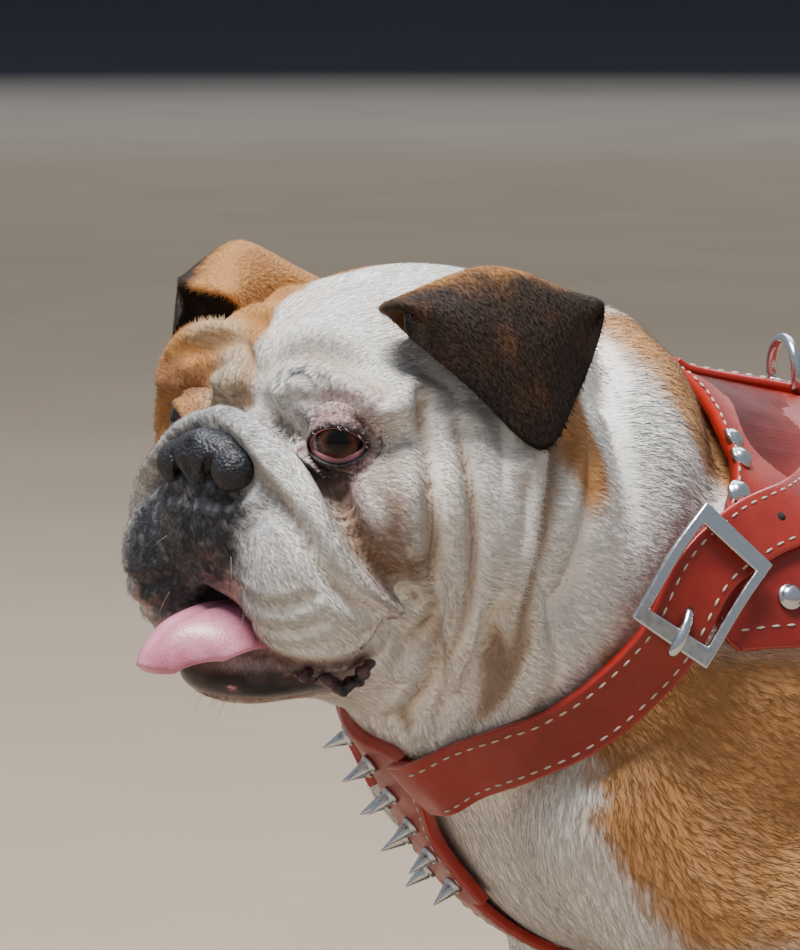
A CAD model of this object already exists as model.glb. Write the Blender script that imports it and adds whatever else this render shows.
# %% [markdown]
# An English bulldog, life-size, standing with its head turned a little to its left.
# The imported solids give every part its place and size. This lesson dresses them: one skin
# with its folds, a short coat, wet eyes and nose, and a red leather harness.

# %% Load the frame
import bpy
import bmesh
from contextlib import contextmanager
import math
import time
import numpy as np
from mathutils import Matrix, Vector, noise
from mathutils.bvhtree import BVHTree


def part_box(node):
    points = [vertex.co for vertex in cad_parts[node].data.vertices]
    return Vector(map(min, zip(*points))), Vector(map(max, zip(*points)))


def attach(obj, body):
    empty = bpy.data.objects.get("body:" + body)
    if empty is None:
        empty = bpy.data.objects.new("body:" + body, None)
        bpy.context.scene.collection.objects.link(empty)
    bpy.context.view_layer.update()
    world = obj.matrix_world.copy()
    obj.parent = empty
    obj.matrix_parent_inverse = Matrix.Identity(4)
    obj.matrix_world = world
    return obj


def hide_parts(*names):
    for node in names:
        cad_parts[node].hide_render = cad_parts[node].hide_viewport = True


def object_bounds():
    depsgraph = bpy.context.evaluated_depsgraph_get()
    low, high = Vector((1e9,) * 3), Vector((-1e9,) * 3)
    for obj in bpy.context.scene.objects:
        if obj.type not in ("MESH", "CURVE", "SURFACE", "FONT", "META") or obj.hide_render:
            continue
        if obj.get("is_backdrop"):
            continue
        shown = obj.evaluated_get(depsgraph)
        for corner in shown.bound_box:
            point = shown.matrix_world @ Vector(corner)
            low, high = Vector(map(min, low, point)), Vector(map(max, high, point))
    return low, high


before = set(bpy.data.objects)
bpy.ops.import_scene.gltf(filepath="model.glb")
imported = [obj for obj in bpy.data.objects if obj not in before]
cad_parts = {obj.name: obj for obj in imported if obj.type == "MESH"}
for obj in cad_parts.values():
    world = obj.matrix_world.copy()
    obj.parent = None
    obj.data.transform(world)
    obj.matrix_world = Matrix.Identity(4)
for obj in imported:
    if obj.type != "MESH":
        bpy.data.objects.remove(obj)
CAD_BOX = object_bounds()
MM = 0.001
START = time.time()
RNG = np.random.default_rng(7)

def say(*words):
    print(f"{time.time() - START:6.1f} s ", *words)

say("solids reach from", [round(v, 3) for v in CAD_BOX[0]], "to", [round(v, 3) for v in CAD_BOX[1]])

# %% [markdown]
# The head is turned, so its folds are easiest to place in a frame of its own: forward, to the
# dog's left, and up, in millimetres from a point inside the skull, midway between the eyes and
# behind them. The eyes of the solids give that frame, so it can't drift from them.

# %% The head's own frame and the body's
UP = np.array([0, 0, 1.0])
TILTED = np.array([0.13, 0.21, 0.97])

def unit(v):
    """The same directions with length 1"""
    return v / np.linalg.norm(v, axis=-1, keepdims=True)

def middle(node):
    low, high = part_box(node)
    return np.array((low + high) / 2)

EYE = np.array([53.0, 44.0, 9.0])
EYE_RADIUS = 11.4
LEFT = unit((middle("eye_left") - middle("eye_right")) * [1, 1, 0])
FORWARD = np.cross(LEFT, UP)
HEAD_AXES = np.stack([FORWARD, LEFT, UP])
HEAD_ZERO = (middle("eye_left") + middle("eye_right")) / 2 - MM * (EYE * [1, 0, 1]) @ HEAD_AXES
RING_X = -72
BODY_AXES = np.eye(3)
BODY_ZERO = np.array([middle("ring")[0] - RING_X * MM, 0, 0])

def to_head(points):
    return (np.atleast_2d(points) - HEAD_ZERO) @ HEAD_AXES.T / MM

def from_head(points):
    return HEAD_ZERO + MM * np.atleast_2d(np.array(points, float)) @ HEAD_AXES

def to_body(points):
    return (np.atleast_2d(points) - BODY_ZERO) / MM

def from_body(points):
    return BODY_ZERO + MM * np.atleast_2d(np.array(points, float))

say("head zero", np.round(HEAD_ZERO, 4), "facing", np.round(FORWARD, 3))

# %% [markdown]
# Flesh has no edges, so it is described as soft masses that blend: ellipsoids for the skull,
# cheeks and ribs, and bent rolls for folds and limbs. Each gives the distance to its own
# surface, and a soft minimum joins them. It could be sculpted by hand, but named masses can
# be measured, moved and mirrored.

# %% The masses of the head and the body
MIRROR = np.array([1.0, -1.0, 1.0])
PAIR, ALONE = True, False

def mass(at, half, blend, pair=ALONE):
    return {"at": np.array(at, float), "half": np.array(half, float), "blend": blend, "pair": pair}

def curve(a, b, c, d, f):
    """A place at the share f of the way from b to c, on a smooth curve through a, b, c and d"""
    cubic = (2 * a - 5 * b + 4 * c - d) * f ** 2 + (3 * b - a - 3 * c + d) * f ** 3
    return 0.5 * (2 * b + (c - a) * f + cubic)

def with_ends(points):
    """The points as an array, with one more past each end, in line with the last two"""
    P = np.array(points, float)
    return np.concatenate([2 * P[:1] - P[1:2], P, 2 * P[-1:] - P[-2:-1]])

def roll(points, radii, blend, pair=ALONE, steps=4):
    """A bent roll: a smooth line through the points, with a radius that changes along it"""
    P = with_ends(points)
    line, thick = [], []
    for i in range(len(points) - 1):
        for t in np.arange(steps) / steps:
            line.append(curve(*P[i:i + 4], t))
            thick.append(radii[i] + (radii[i + 1] - radii[i]) * t)
    line, thick = np.array(line + [P[-2]]), np.array(thick + [radii[-1]])
    return {"line": line, "thick": thick, "blend": blend, "pair": pair}

def sides(form):
    """The signs of y at which a mass or crease stands: both for a pair"""
    return (1, -1) if form["pair"] else (1,)

HEAD = {
    "cranium": mass([-20, 0, 18], [74, 80, 53], 20),
    "forehead": mass([26, 0, 26], [32, 54, 36], 16),
    "cheek": mass([-4, 62, -18], [50, 42, 52], 20, PAIR),
    "midface": mass([38, 0, -18], [38, 56, 40], 16),
    "muzzle": mass([68, 0, -24], [27, 38, 36], 10),
    "flew": mass([59, 36, -48], [28, 32, 32], 8, PAIR),
    "lip": mass([71, 38, -42], [20, 22, 27], 8, PAIR),
    "brow": mass([40, 48, 24], [18, 26, 14], 10, PAIR),
    "pouch": mass([34, 64, -19], [27, 25, 26], 8, PAIR),
    "throat": mass([-20, 0, -66], [62, 72, 46], 24),
    "jaw": mass([22, 0, -78], [58, 48, 22], 12),
    "chin": mass([68, 0, -84], [24, 28, 14], 10),
    "nose rope": roll([[76, 0, 10], [76, 16, 7], [75, 30, -1], [72, 46, -15], [67, 56, -29], [60, 63, -42],
                       [46, 69, -55]],
                      [10, 10, 10, 10, 10, 9, 7], 3, PAIR),
    "inner brow": roll([[46, 12, 30], [55, 19, 25], [50, 30, 20]], [9, 11, 7], 3, PAIR),
    "brow roll": roll([[34, 12, 50], [35, 42, 38], [28, 62, 20], [26, 76, -3], [28, 82, -30], [22, 78, -60],
                       [6, 54, -90]],
                      [8, 9, 9, 8, 9, 9, 7], 3, PAIR),
    "cheek fold": roll([[0, 90, 22], [8, 96, -5], [8, 96, -35], [-2, 86, -68], [-22, 60, -100],
                        [-32, 24, -110]],
                       [8, 9, 10, 10, 9, 7], 4, PAIR),
    "far brow": roll([[40, -20, 46], [43, -46, 42], [44, -66, 27], [42, -74, 4]], [9, 10, 11, 9], 5),
    "neck fold": roll([[-44, 74, 8], [-32, 92, -22], [-36, 88, -60], [-50, 70, -98], [-62, 30, -124]],
                      [10, 14, 15, 14, 11], 6, PAIR),
}
BODY = {
    "ribs": mass([-55, 0, 260], [170, 124, 110], 30),
    "chest": mass([-150, 0, 250], [80, 108, 90], 30),
    "loin": mass([80, 0, 300], [126, 84, 78], 30),
    "belly": mass([50, 0, 258], [120, 92, 70], 30),
    "rump": mass([138, 0, 298], [78, 92, 80], 30),
    "withers": mass([-95, 0, 325], [80, 70, 48], 30),
    "shoulder": mass([-130, 94, 268], [62, 50, 92], 25, PAIR),
    "thigh": mass([128, 78, 236], [68, 46, 86], 25, PAIR),
    "upper arm": roll([[-178, 92, 232], [-140, 112, 190], [-108, 120, 168]], [46, 44, 38], 20, PAIR),
    "foreleg": roll([[-108, 120, 190], [-108, 120, 168], [-112, 120, 120], [-120, 118, 66], [-124, 118, 34]],
                    [41, 38, 34, 28, 27], 14, PAIR),
    "hind leg": roll([[90, 88, 214], [96, 92, 190], [128, 90, 150], [176, 84, 108], [178, 82, 66],
                      [170, 82, 30]],
                     [52, 47, 35, 24, 20, 22], 20, PAIR),
    "tail": roll([[196, 0, 338], [222, 0, 326], [234, 0, 294]], [22, 16, 9], 14),
    "crest": roll([[-110, 0, 296], [-160, -10, 316], [-212, -26, 344]], [82, 84, 78], 30),
    "dewlap": roll([[-170, -8, 262], [-214, -24, 290]], [60, 58], 26),
    "collar left": roll([[-161, -14, 403], [-164, -58, 386], [-182, -94, 350], [-212, -96, 306],
                         [-236, -60, 272]],
                        [25, 29, 32, 30, 26], 14),
    "collar right": roll([[-160, 0, 400], [-154, 44, 384], [-158, 84, 350], [-174, 96, 306], [-216, 56, 270]],
                         [25, 29, 32, 30, 26], 14),
}

# %% [markdown]
# A bulldog's paw is round and arched, with four tight toes. Each toe is one more roll, worked
# out from the paw's place, length and width, so all four paws come from one loop.

# %% Toes and pads
PAWS = {
    "forepaw": {"at": (-124, 118), "wide": 70, "long": 60, "high": 36},
    "hindpaw": {"at": (170, 82), "wide": 60, "long": 58, "high": 32},
}
TOES = (-1.5, -0.5, 0.5, 1.5)

def toe_line(paw, toe):
    x, y = paw["at"]
    reach = paw["long"] * (0.5 if abs(toe) > 1 else 0.66)
    spread = toe * paw["wide"] * 0.25
    line = [[x - paw["long"] * 0.04, y + spread * 0.7, paw["high"] * 0.72],
            [x - reach * 0.72, y + spread, paw["high"] * 0.76],
            [x - reach, y + spread * 1.06, paw["high"] * 0.36]]
    return line, paw["wide"] * 0.155

for name, paw in PAWS.items():
    x, y = paw["at"]
    BODY[f"{name} root"] = roll([[x, y, paw["high"] + 16], [x - 4, y, paw["high"] * 0.55]],
                                [paw["wide"] * 0.37, paw["wide"] * 0.4], 6, PAIR)
    BODY[f"{name} pad"] = mass([x - paw["long"] * 0.18, y, paw["high"] * 0.3],
                               [paw["long"] * 0.36, paw["wide"] * 0.4, paw["high"] * 0.5], 4, PAIR)
    for toe in TOES:
        line, r = toe_line(paw, toe)
        BODY[f"{name} toe {toe}"] = roll(line, [r, r * 1.06, r * 0.92], 2.5, PAIR, steps=3)

# %% [markdown]
# The distance from a point to a mass is quick to work out for many points at once with numpy.
# Only points near a mass can feel it, so the rest are left out of its sum.

# %% Distance to the flesh
REACH = 16

def to_ellipsoid(p, m):
    """Distance to an ellipsoid's surface, true close to it"""
    q = (p - m["at"]) / m["half"]
    k = np.linalg.norm(q, axis=1)
    return k * (k - 1) / (np.linalg.norm(q / m["half"], axis=1) + 1e-9)

def to_tube(p, line, thick):
    """Distance to a bent tube whose radius changes along its line"""
    nearest = np.full(len(p), 1e9)
    for a, b, ra, rb in zip(line[:-1], line[1:], thick[:-1], thick[1:]):
        along = b - a
        t = np.clip((p - a) @ along / (along @ along), 0, 1)
        nearest = np.minimum(nearest, np.linalg.norm(p - a - t[:, None] * along, axis=1) - ra - (rb - ra) * t)
    return nearest

def soft_min(a, b, k):
    h = np.maximum(k - np.abs(a - b), 0) / k
    return np.minimum(a, b) - h * h * k / 4

def add_mass(d, p, m):
    """Blends one mass into the distances d at the points p"""
    for sign in sides(m):
        q = p if sign > 0 else p * MIRROR
        if "at" in m:
            low, high = m["at"] - m["half"], m["at"] + m["half"]
        else:
            low, high = m["line"].min(0) - m["thick"].max(), m["line"].max(0) + m["thick"].max()
        room = m["blend"] + REACH
        near = np.all((q > low - room) & (q < high + room), axis=1)
        if near.any():
            here = to_ellipsoid(q[near], m) if "at" in m else to_tube(q[near], m["line"], m["thick"])
            d[near] = soft_min(d[near], here, m["blend"])

def field(p, masses):
    d = np.full(len(p), 1e3)
    for m in masses.values():
        add_mass(d, p, m)
    return d

# %% [markdown]
# The ears are rose ears: a thin wall rises from the skull, rolls over a ridge and hangs down
# and back. Thin skin is easiest as a sheet with a thickness, so a grid is bent over three named
# lines, given its thickness and joined to the head at its root.

# %% Ears
EAR_BASE = [[24, 50, 50], [-6, 62, 46], [-40, 62, 44]]
EAR_RIDGE = [[46, 58, 62], [8, 80, 76], [-32, 90, 62]]
EAR_EDGE = [[42, 68, 54], [30, 92, 34], [6, 107, 8], [-16, 103, 28], [-33, 97, 50]]
EAR_THICK = 3.6
EAR_CELLS = 22
EAR_ROOT = 0.6
WALL_HOLLOW = [0, -5, 3]
FLAP_BEND = 0.45
FLAP_ARCH = [0, 7, 5]

def smooth_line(points, t):
    """Places at t from 0 to 1 along a smooth line through the points"""
    P = with_ends(points)
    place = np.clip(t, 0, 1) * (len(points) - 1)
    i = np.minimum(place.astype(int), len(points) - 2)
    f = (place - i).reshape(-1, *[1] * (P.ndim - 1))
    return curve(P[i], P[i + 1], P[i + 2], P[i + 3], f)

def ear(side):
    """One ear: a bent sheet given its thickness, with its root inside the skull"""
    bm = bmesh.new()
    bmesh.ops.create_grid(bm, x_segments=EAR_CELLS, y_segments=EAR_CELLS, size=0.5)
    s, v = (np.array([w.co for w in bm.verts])[:, :2] + 0.5).T
    base, ridge, edge = (smooth_line(line, s) for line in (EAR_BASE, EAR_RIDGE, EAR_EDGE))
    rise = (base + ridge) / 2 + WALL_HOLLOW
    fall = ridge + FLAP_BEND * (edge - ridge) + FLAP_ARCH
    root = base + EAR_ROOT * (base - rise)
    chain = np.stack([root, base, rise, ridge, fall, edge])
    layer = bm.verts.layers.float.new("along_ear")
    for k, w in enumerate(bm.verts):
        p = smooth_line(chain[:, k], v[k:k + 1])[0]
        w.co = from_head(p * [1, side, 1])[0]
        w[layer] = v[k]
    bmesh.ops.solidify(bm, geom=bm.faces[:], thickness=EAR_THICK * MM)
    bmesh.ops.recalc_face_normals(bm, faces=bm.faces)
    piece = object_from(bm, "ear")
    finer = piece.modifiers.new("smooth", "SUBSURF")
    finer.levels = finer.render_levels = 1
    apply_modifiers(piece)
    return piece

# %% [markdown]
# The mouth is a hollow between the lips, cut out of the flesh with the room that the tongue
# takes. Round each eye the skin has a dent, which the lids will cover.

# %% Mouth and sockets
LOOK = unit(np.array([0.8, 0.6, 0.04]))
TEMPLE = np.array([-0.6, 0.8, 0.0])
MOUTH = mass([70, 0, -62], [34, 12, 13], 0)
SOCKET_DEEP = 8
SOCKET_WIDE = 11
SOCKET_AHEAD = 6
SOCKET_SHAPE = [1, 1, 1.3]

# %% [markdown]
# Where skin folds over skin, it leaves a crease with a soft shoulder on each side. Each crease
# is a named line in the head's frame, with its depth and half width. The skin near it moves in
# towards the middle of the head, and the skin beside it swells a little.

# %% Creases of the face
def crease(points, depth, wide, pair=PAIR):
    line = roll(points, [0] * len(points), 0, pair, steps=3)
    return {**line, "depth": depth, "wide": wide}

CREASES = {
    "rope, front": crease([[85, 0, 14], [85, 14, 8], [85, 25, 0], [84, 35, -8], [82, 47, -17],
                           [80, 56, -29], [77, 62, -41],
                           [69, 67, -50], [52, 73, -59]], 3.6, 3.0),
    "rope, rear": crease([[62, 4, 21], [64, 26, 11], [62, 40, 0], [66, 60, -18], [62, 68, -32], [54, 74, -43],
                          [34, 70, -57]], 5.4, 4.0),
    "flew, upper": crease([[86, 20, -48], [90, 33, -52], [87, 48, -53], [80, 59, -48]], 2, 2.4),
    "flew, lower": crease([[80, 18, -61], [86, 31, -64], [83, 48, -63], [77, 58, -60]], 1.8, 2.4),
    "under the nose": crease([[93, 6, -14], [91, 13, -15], [86, 22, -12], [82, 27, -7]], 2.4, 2.2),
    "lips": crease([[90, 6, -62], [79, 24, -73], [72, 38, -77], [64, 48, -78], [55, 55, -77], [48, 62, -71],
                    [46, 74, -60]],
                   5, 3.4),
    "hood": crease([[59, 3, 32], [55, 15, 41], [51, 28, 42], [49, 44, 38], [50, 66, 28]], 4, 3.8),
    "over the eye": crease([[64, 18, 20], [62, 30, 25], [58, 42, 27], [56, 57, 25]], 2.6, 2.8),
    "face": crease([[36, 74, 26], [37, 79, 7], [42, 87, -11], [41, 87, -30], [36, 82, -47], [25, 68, -65],
                    [28, 55, -84]],
                   5.4, 4.0),
    "cheek": crease([[28, 88, 16], [29, 94, 0], [27, 96, -23], [25, 92, -47], [24, 83, -67], [16, 62, -91],
                     [1, 20, -112]],
                    5, 4),
    "behind the cheek": crease([[8, 104, -6], [12, 103, -35], [11, 92, -56], [9, 76, -81], [0, 40, -107]],
                               4, 4.2),
    "neck": crease([[-14, 97, 9], [-5, 104, -13], [0, 104, -36], [4, 99, -59], [-6, 68, -93],
                    [-10, 40, -112]], 6.5, 5),
    "forehead": crease([[62, 0, 24], [60, 1, 37], [50, 2, 52], [34, 2, 66], [10, 2, 76]], 4, 4.5, ALONE),
    "philtrum": crease([[95, 0, -16], [96, 0, -28], [96, 0, -42]], 3, 2, ALONE),
    "far brow, inner": crease([[58, -24, 34], [57, -40, 30], [54, -50, 17]], 4.5, 4.4, ALONE),
    "far brow, upper": crease([[52, -10, 54], [46, -36, 54], [40, -60, 44]], 4.5, 4.5, ALONE),
    "far brow, hollow": crease([[58, -40, 36], [58, -44, 23], [62, -56, 15]], 4.5, 3.4, ALONE),
    "far temple": crease([[44, -14, 66], [34, -44, 66], [26, -68, 46]], 3.5, 4, ALONE),
}
CORE = np.array([5.0, 0, -20])
CREASE_REACH = 4
SHOULDER_HIGH = 0.3
SHOULDER_AT = 2.2
SHOULDER_WIDE = 0.9

def to_groove(p, line):
    """Distance to a line, where a point farther in than the line counts as level with it"""
    nearest = np.full(len(p), 1e9)
    for a, b in zip(line[:-1], line[1:]):
        along = b - a
        spot = a + np.clip((p - a) @ along / (along @ along), 0, 1)[:, None] * along
        out = unit(spot - CORE)
        away = p - spot
        away -= np.minimum((away * out).sum(1), 0)[:, None] * out
        nearest = np.minimum(nearest, np.linalg.norm(away, axis=1))
    return nearest

def relief(h):
    """How far the creases lower the skin at points of the head's frame, less where they swell it"""
    low, heap = np.zeros(len(h)), np.zeros(len(h))
    for c in CREASES.values():
        for sign in sides(c):
            q = h if sign > 0 else h * MIRROR
            room = CREASE_REACH * c["wide"]
            near = np.all((q > c["line"].min(0) - room) & (q < c["line"].max(0) + room), axis=1)
            if near.any():
                r = to_groove(q[near], c["line"]) / c["wide"]
                low[near] = np.maximum(low[near], c["depth"] * np.exp(-r ** 2))
                swell = SHOULDER_HIGH * c["depth"] * np.exp(-((r - SHOULDER_AT) / SHOULDER_WIDE) ** 2)
                heap[near] = np.maximum(heap[near], swell)
    return low - heap

# %% Distance to the skin
COAT_DEPTH = 1.5
NECK_BLEND = 8

def flesh(points, hollow=True, sockets=True, creased=True):
    """Distance in mm from points in metres to the dog's skin, less than nothing inside"""
    h = to_head(points)
    body = field(to_body(points), BODY)
    d = soft_min(body, field(h, HEAD), NECK_BLEND) + (relief(h) if creased else 0)
    if sockets:
        for side in (1, -1):
            away = (h - (EYE + SOCKET_AHEAD * LOOK) * [1, side, 1]) * SOCKET_SHAPE
            d = d + SOCKET_DEEP * np.exp(-(np.linalg.norm(away, axis=1) / SOCKET_WIDE) ** 4)
    if hollow:
        d = np.maximum(d, -to_ellipsoid(h, MOUTH))
    below_ground = -points[:, 2] / MM - COAT_DEPTH
    return np.maximum(d, below_ground)

# %% [markdown]
# Blender keeps a mesh as lists of places and corners. These helpers fill the lists from numpy,
# copy a small mesh to many places, edit a mesh, and put a piece in the scene.

# %% Helpers for meshes
def add_object(name, data):
    piece = bpy.data.objects.new(name, data)
    bpy.context.scene.collection.objects.link(piece)
    return piece

def mesh_from(bm, name):
    """The finished mesh of an edit mesh, which is then let go"""
    mesh = bpy.data.meshes.new(name)
    bm.to_mesh(mesh)
    bm.free()
    return mesh

def object_from(bm, name):
    return add_object(name, mesh_from(bm, name))

@contextmanager
def edited(piece):
    """Opens a piece's mesh for editing and stores it again"""
    bm = bmesh.new()
    bm.from_mesh(piece.data)
    yield bm
    bm.to_mesh(piece.data)
    bm.free()

def dress(piece, material):
    """Gives a piece one material and smooth shading"""
    faces = len(piece.data.polygons)
    piece.data.materials.clear()
    piece.data.materials.append(material)
    piece.data.polygons.foreach_set("use_smooth", np.ones(faces, bool))
    piece.data.polygons.foreach_set("material_index", np.zeros(faces, np.int32))

def vertices(mesh, kind="co"):
    out = np.empty(len(mesh.vertices) * 3)
    mesh.vertices.foreach_get(kind, out)
    return out.reshape(-1, 3)

def set_vertices(mesh, points):
    mesh.vertices.foreach_set("co", points.astype(np.float32).ravel())
    mesh.update()

def mesh_of_copies(name, points, faces):
    """A mesh of many copies, and its corners: points[copy, corner], and one copy's triangles"""
    count, corners = points.shape[:2]
    links = (np.ravel(faces)[None] + corners * np.arange(count)[:, None]).ravel()
    mesh = bpy.data.meshes.new(name)
    mesh.vertices.add(count * corners)
    mesh.vertices.foreach_set("co", points.astype(np.float32).ravel())
    mesh.loops.add(len(links))
    mesh.loops.foreach_set("vertex_index", links)
    mesh.polygons.add(len(links) // 3)
    mesh.polygons.foreach_set("loop_start", np.arange(0, len(links), 3))
    mesh.update(calc_edges=True)
    return mesh, links

def joined_copies(name, template, matrices):
    """A piece of many copies of a small mesh, each moved by its own 4 by 4 matrix"""
    faces = np.empty(len(template.polygons) * 3, int)
    template.polygons.foreach_get("vertices", faces)
    places = np.array(matrices)
    points = np.einsum("nij,vj->nvi", places[:, :3, :3], vertices(template)) + places[:, None, :3, 3]
    return add_object(name, mesh_of_copies(name, points, faces)[0])

def ball_mesh(detail):
    bm = bmesh.new()
    bmesh.ops.create_icosphere(bm, subdivisions=detail, radius=1)
    return mesh_from(bm, "ball")

def apply_modifiers(piece):
    graph = bpy.context.evaluated_depsgraph_get()
    mesh = bpy.data.meshes.new_from_object(piece.evaluated_get(graph))
    piece.modifiers.clear()
    old = piece.data
    piece.data = mesh
    bpy.data.meshes.remove(old)

def remesh(piece, size):
    step = piece.modifiers.new("remesh", "REMESH")
    step.mode = "VOXEL"
    step.voxel_size = size
    apply_modifiers(piece)

def cut_away(piece, tool):
    step = piece.modifiers.new("cut", "BOOLEAN")
    step.operation = "DIFFERENCE"
    step.solver = "MANIFOLD"
    step.object = tool
    apply_modifiers(piece)

EVERY_WAY = {"use_axis_x": True, "use_axis_y": True, "use_axis_z": True}

def relax(piece, factor):
    """Evens out the vertices, so that none folds over its neighbours"""
    with edited(piece) as bm:
        bmesh.ops.smooth_vert(bm, verts=bm.verts, factor=factor, **EVERY_WAY)

# %% [markdown]
# The skin starts as rough lumps, one ball for each mass and a chain of them for each roll. A
# voxel remesh melts them into one even mesh of squares, and the mouth is cut.

# %% Lumps melted into one skin
VOXEL = 4.5 * MM

def frame_matrix(axes, zero):
    m = Matrix.Identity(4)
    for row in range(3):
        for column in range(3):
            m[row][column] = axes[column][row] * MM
        m[row][3] = zero[row]
    return m

HEAD_MATRIX = frame_matrix(HEAD_AXES, HEAD_ZERO)
BODY_MATRIX = frame_matrix(BODY_AXES, BODY_ZERO)

def chain(m):
    """Places and half sizes of the balls that stand for a mass or roll"""
    if "at" in m:
        return [(m["at"], m["half"])]
    balls = []
    for a, b, ra, rb in zip(m["line"][:-1], m["line"][1:], m["thick"][:-1], m["thick"][1:]):
        n = max(1, int(np.linalg.norm(b - a) / (0.5 * min(ra, rb))))
        balls += [(a + (b - a) * k / n, [ra + (rb - ra) * k / n] * 3) for k in range(n)]
    return balls

def lump_places(masses, matrix):
    places = []
    for m in masses.values():
        for sign in sides(m):
            for at, half in chain(m):
                ball = Matrix.Translation(at) @ Matrix.Diagonal((*half, 1))
                places.append(matrix @ Matrix.Diagonal((1, sign, 1, 1)) @ ball)
    return places

places = lump_places(HEAD, HEAD_MATRIX) + lump_places(BODY, BODY_MATRIX)
skin = joined_copies("skin", ball_mesh(3), places)
say("lumps", len(places))
remesh(skin, VOXEL)
say("remeshed", len(skin.data.vertices))
bm = bmesh.new()
place = Matrix.Translation(MOUTH["at"]) @ Matrix.Diagonal((*MOUTH["half"], 1))
bmesh.ops.create_icosphere(bm, subdivisions=4, radius=1, matrix=HEAD_MATRIX @ place)
hollow = object_from(bm, "hollow")
cut_away(skin, hollow)
bpy.data.objects.remove(hollow)
remesh(skin, VOXEL)
say("mouth cut", len(skin.data.vertices))

# %% [markdown]
# Every vertex then slides to the smooth surface that the masses describe. The squares of the
# head and the paws are split once more, because their forms are finer. The creases are pressed
# in last, because a mesh that slides into a narrow crease folds over itself.

# %% Skin on the flesh
SLIDE_RELAX = 0.35
FINE_REAR, FINE_LOW, PAW_TOP = -64, -112, 56
GROOVED = 0.6
GROOVE_RELAX = 0.5

def slide_to_flesh(piece, steps, reach):
    """Moves the vertices along their normals until they lie the coat's depth inside the flesh"""
    for _ in range(steps):
        p = vertices(piece.data)
        move = np.clip(flesh(p, creased=False) + COAT_DEPTH, -reach, reach) * MM
        set_vertices(piece.data, p - vertices(piece.data, "normal") * move[:, None])
        relax(piece, SLIDE_RELAX)

slide_to_flesh(skin, 4, 6)
with edited(skin) as bm:
    p = vertices(skin.data)
    h = to_head(p)
    finer = (h[:, 0] > FINE_REAR) & (h[:, 2] > FINE_LOW) | (p[:, 2] < PAW_TOP * MM)
    fine = [e for e in bm.edges if finer[e.verts[0].index] and finer[e.verts[1].index]]
    bmesh.ops.subdivide_edges(bm, edges=fine, cuts=1, use_grid_fill=True)
say("head and paws split", len(skin.data.vertices))
slide_to_flesh(skin, 3, 2)
p = vertices(skin.data)
low = relief(to_head(p))
inwards = unit(unit(from_head(CORE[None]) - p) - vertices(skin.data, "normal"))
set_vertices(skin.data, p + inwards * low[:, None] * MM)
with edited(skin) as bm:
    grooved = [v for v in bm.verts if low[v.index] > GROOVED]
    for _ in range(3):
        bmesh.ops.smooth_vert(bm, verts=grooved, factor=GROOVE_RELAX, **EVERY_WAY)
say("creases pressed in", len(grooved))

# %% [markdown]
# A bulldog's lids are loose skin over the ball: a dark rim, a crease above it, a lower lid that
# sags and shows the pink inner lid. Each pair of lids is one ring of faces round the opening.
# Its inner rows lie on the eyeball and its outer rows are dropped along the gaze onto the face,
# where their edge sinks under the coat.

# %% Lids
OPENING = [[-12.4, -2.5], [-8.5, 3.2], [-2.5, 5.6], [4, 5.0], [9, 2.2], [11.5, -1.6],
           [8.5, -6.2], [2.5, -8.6], [-4, -8.2], [-9, -5.8]]
LID_STEPS = 72
LID_EDGE = [-1.0, -0.6, -0.2, 0.4]
LID_HEIGHT = [0.1, 0.6, 1.2, 1.9]
LID_ROWS = [1.2, 2.2, 3.2, 4.2, 5.2, 6.2, 7.4, 8.8, 10.2, 11.8, 13.4]
LID_THICK = 2.2
LID_BLEND = 4
HAW_WIDE = 2.4
LID_NARROW = 0.6
FAR_LIDS = 0.75
UPPER_FOLDS = [(1.2, 5.0, 1.1)]
LOWER_FOLDS = [(1.1, 5.2, 1.2), (0.8, 9.6, 1.5)]
ROPE_WAY = np.array([-0.7, -0.7])
FACE_AHEAD = 40.0
FACE_STEPS = 26
FACE_SHARE = 0.8

def before_eye(spot, forward):
    """Places in the head's frame, from spots seen along the gaze and how far forward they lie"""
    return EYE + forward[:, None] * LOOK + spot[:, :1] * TEMPLE + spot[:, 1:] * UP

def face_height(spot, side):
    """How far forward of the eye's middle the face lies, at spots seen along the gaze"""
    far = np.full(len(spot), FACE_AHEAD)
    for _ in range(FACE_STEPS):
        h = before_eye(spot, far) * [1, side, 1]
        ball = np.linalg.norm(h - EYE * [1, side, 1], axis=1) - EYE_RADIUS - LID_THICK
        far -= FACE_SHARE * soft_min(flesh(from_head(h), False, False), ball, LID_BLEND)
    return far

def closed_line(points, t):
    """Places at t from 0 to 1 round a smooth closed line through the points"""
    P = np.array(points, float)
    n = len(P)
    i = (t * n).astype(int) % n
    f = (t * n - (t * n).astype(int))[:, None]
    return curve(P[i - 1], P[i], P[(i + 1) % n], P[(i + 2) % n], f)

def folded(edge, folds):
    """Height of the lid's folds, each with its height, its place and its width"""
    return sum(high * np.exp(-((edge - at) / wide) ** 2) for high, at, wide in folds)

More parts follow.
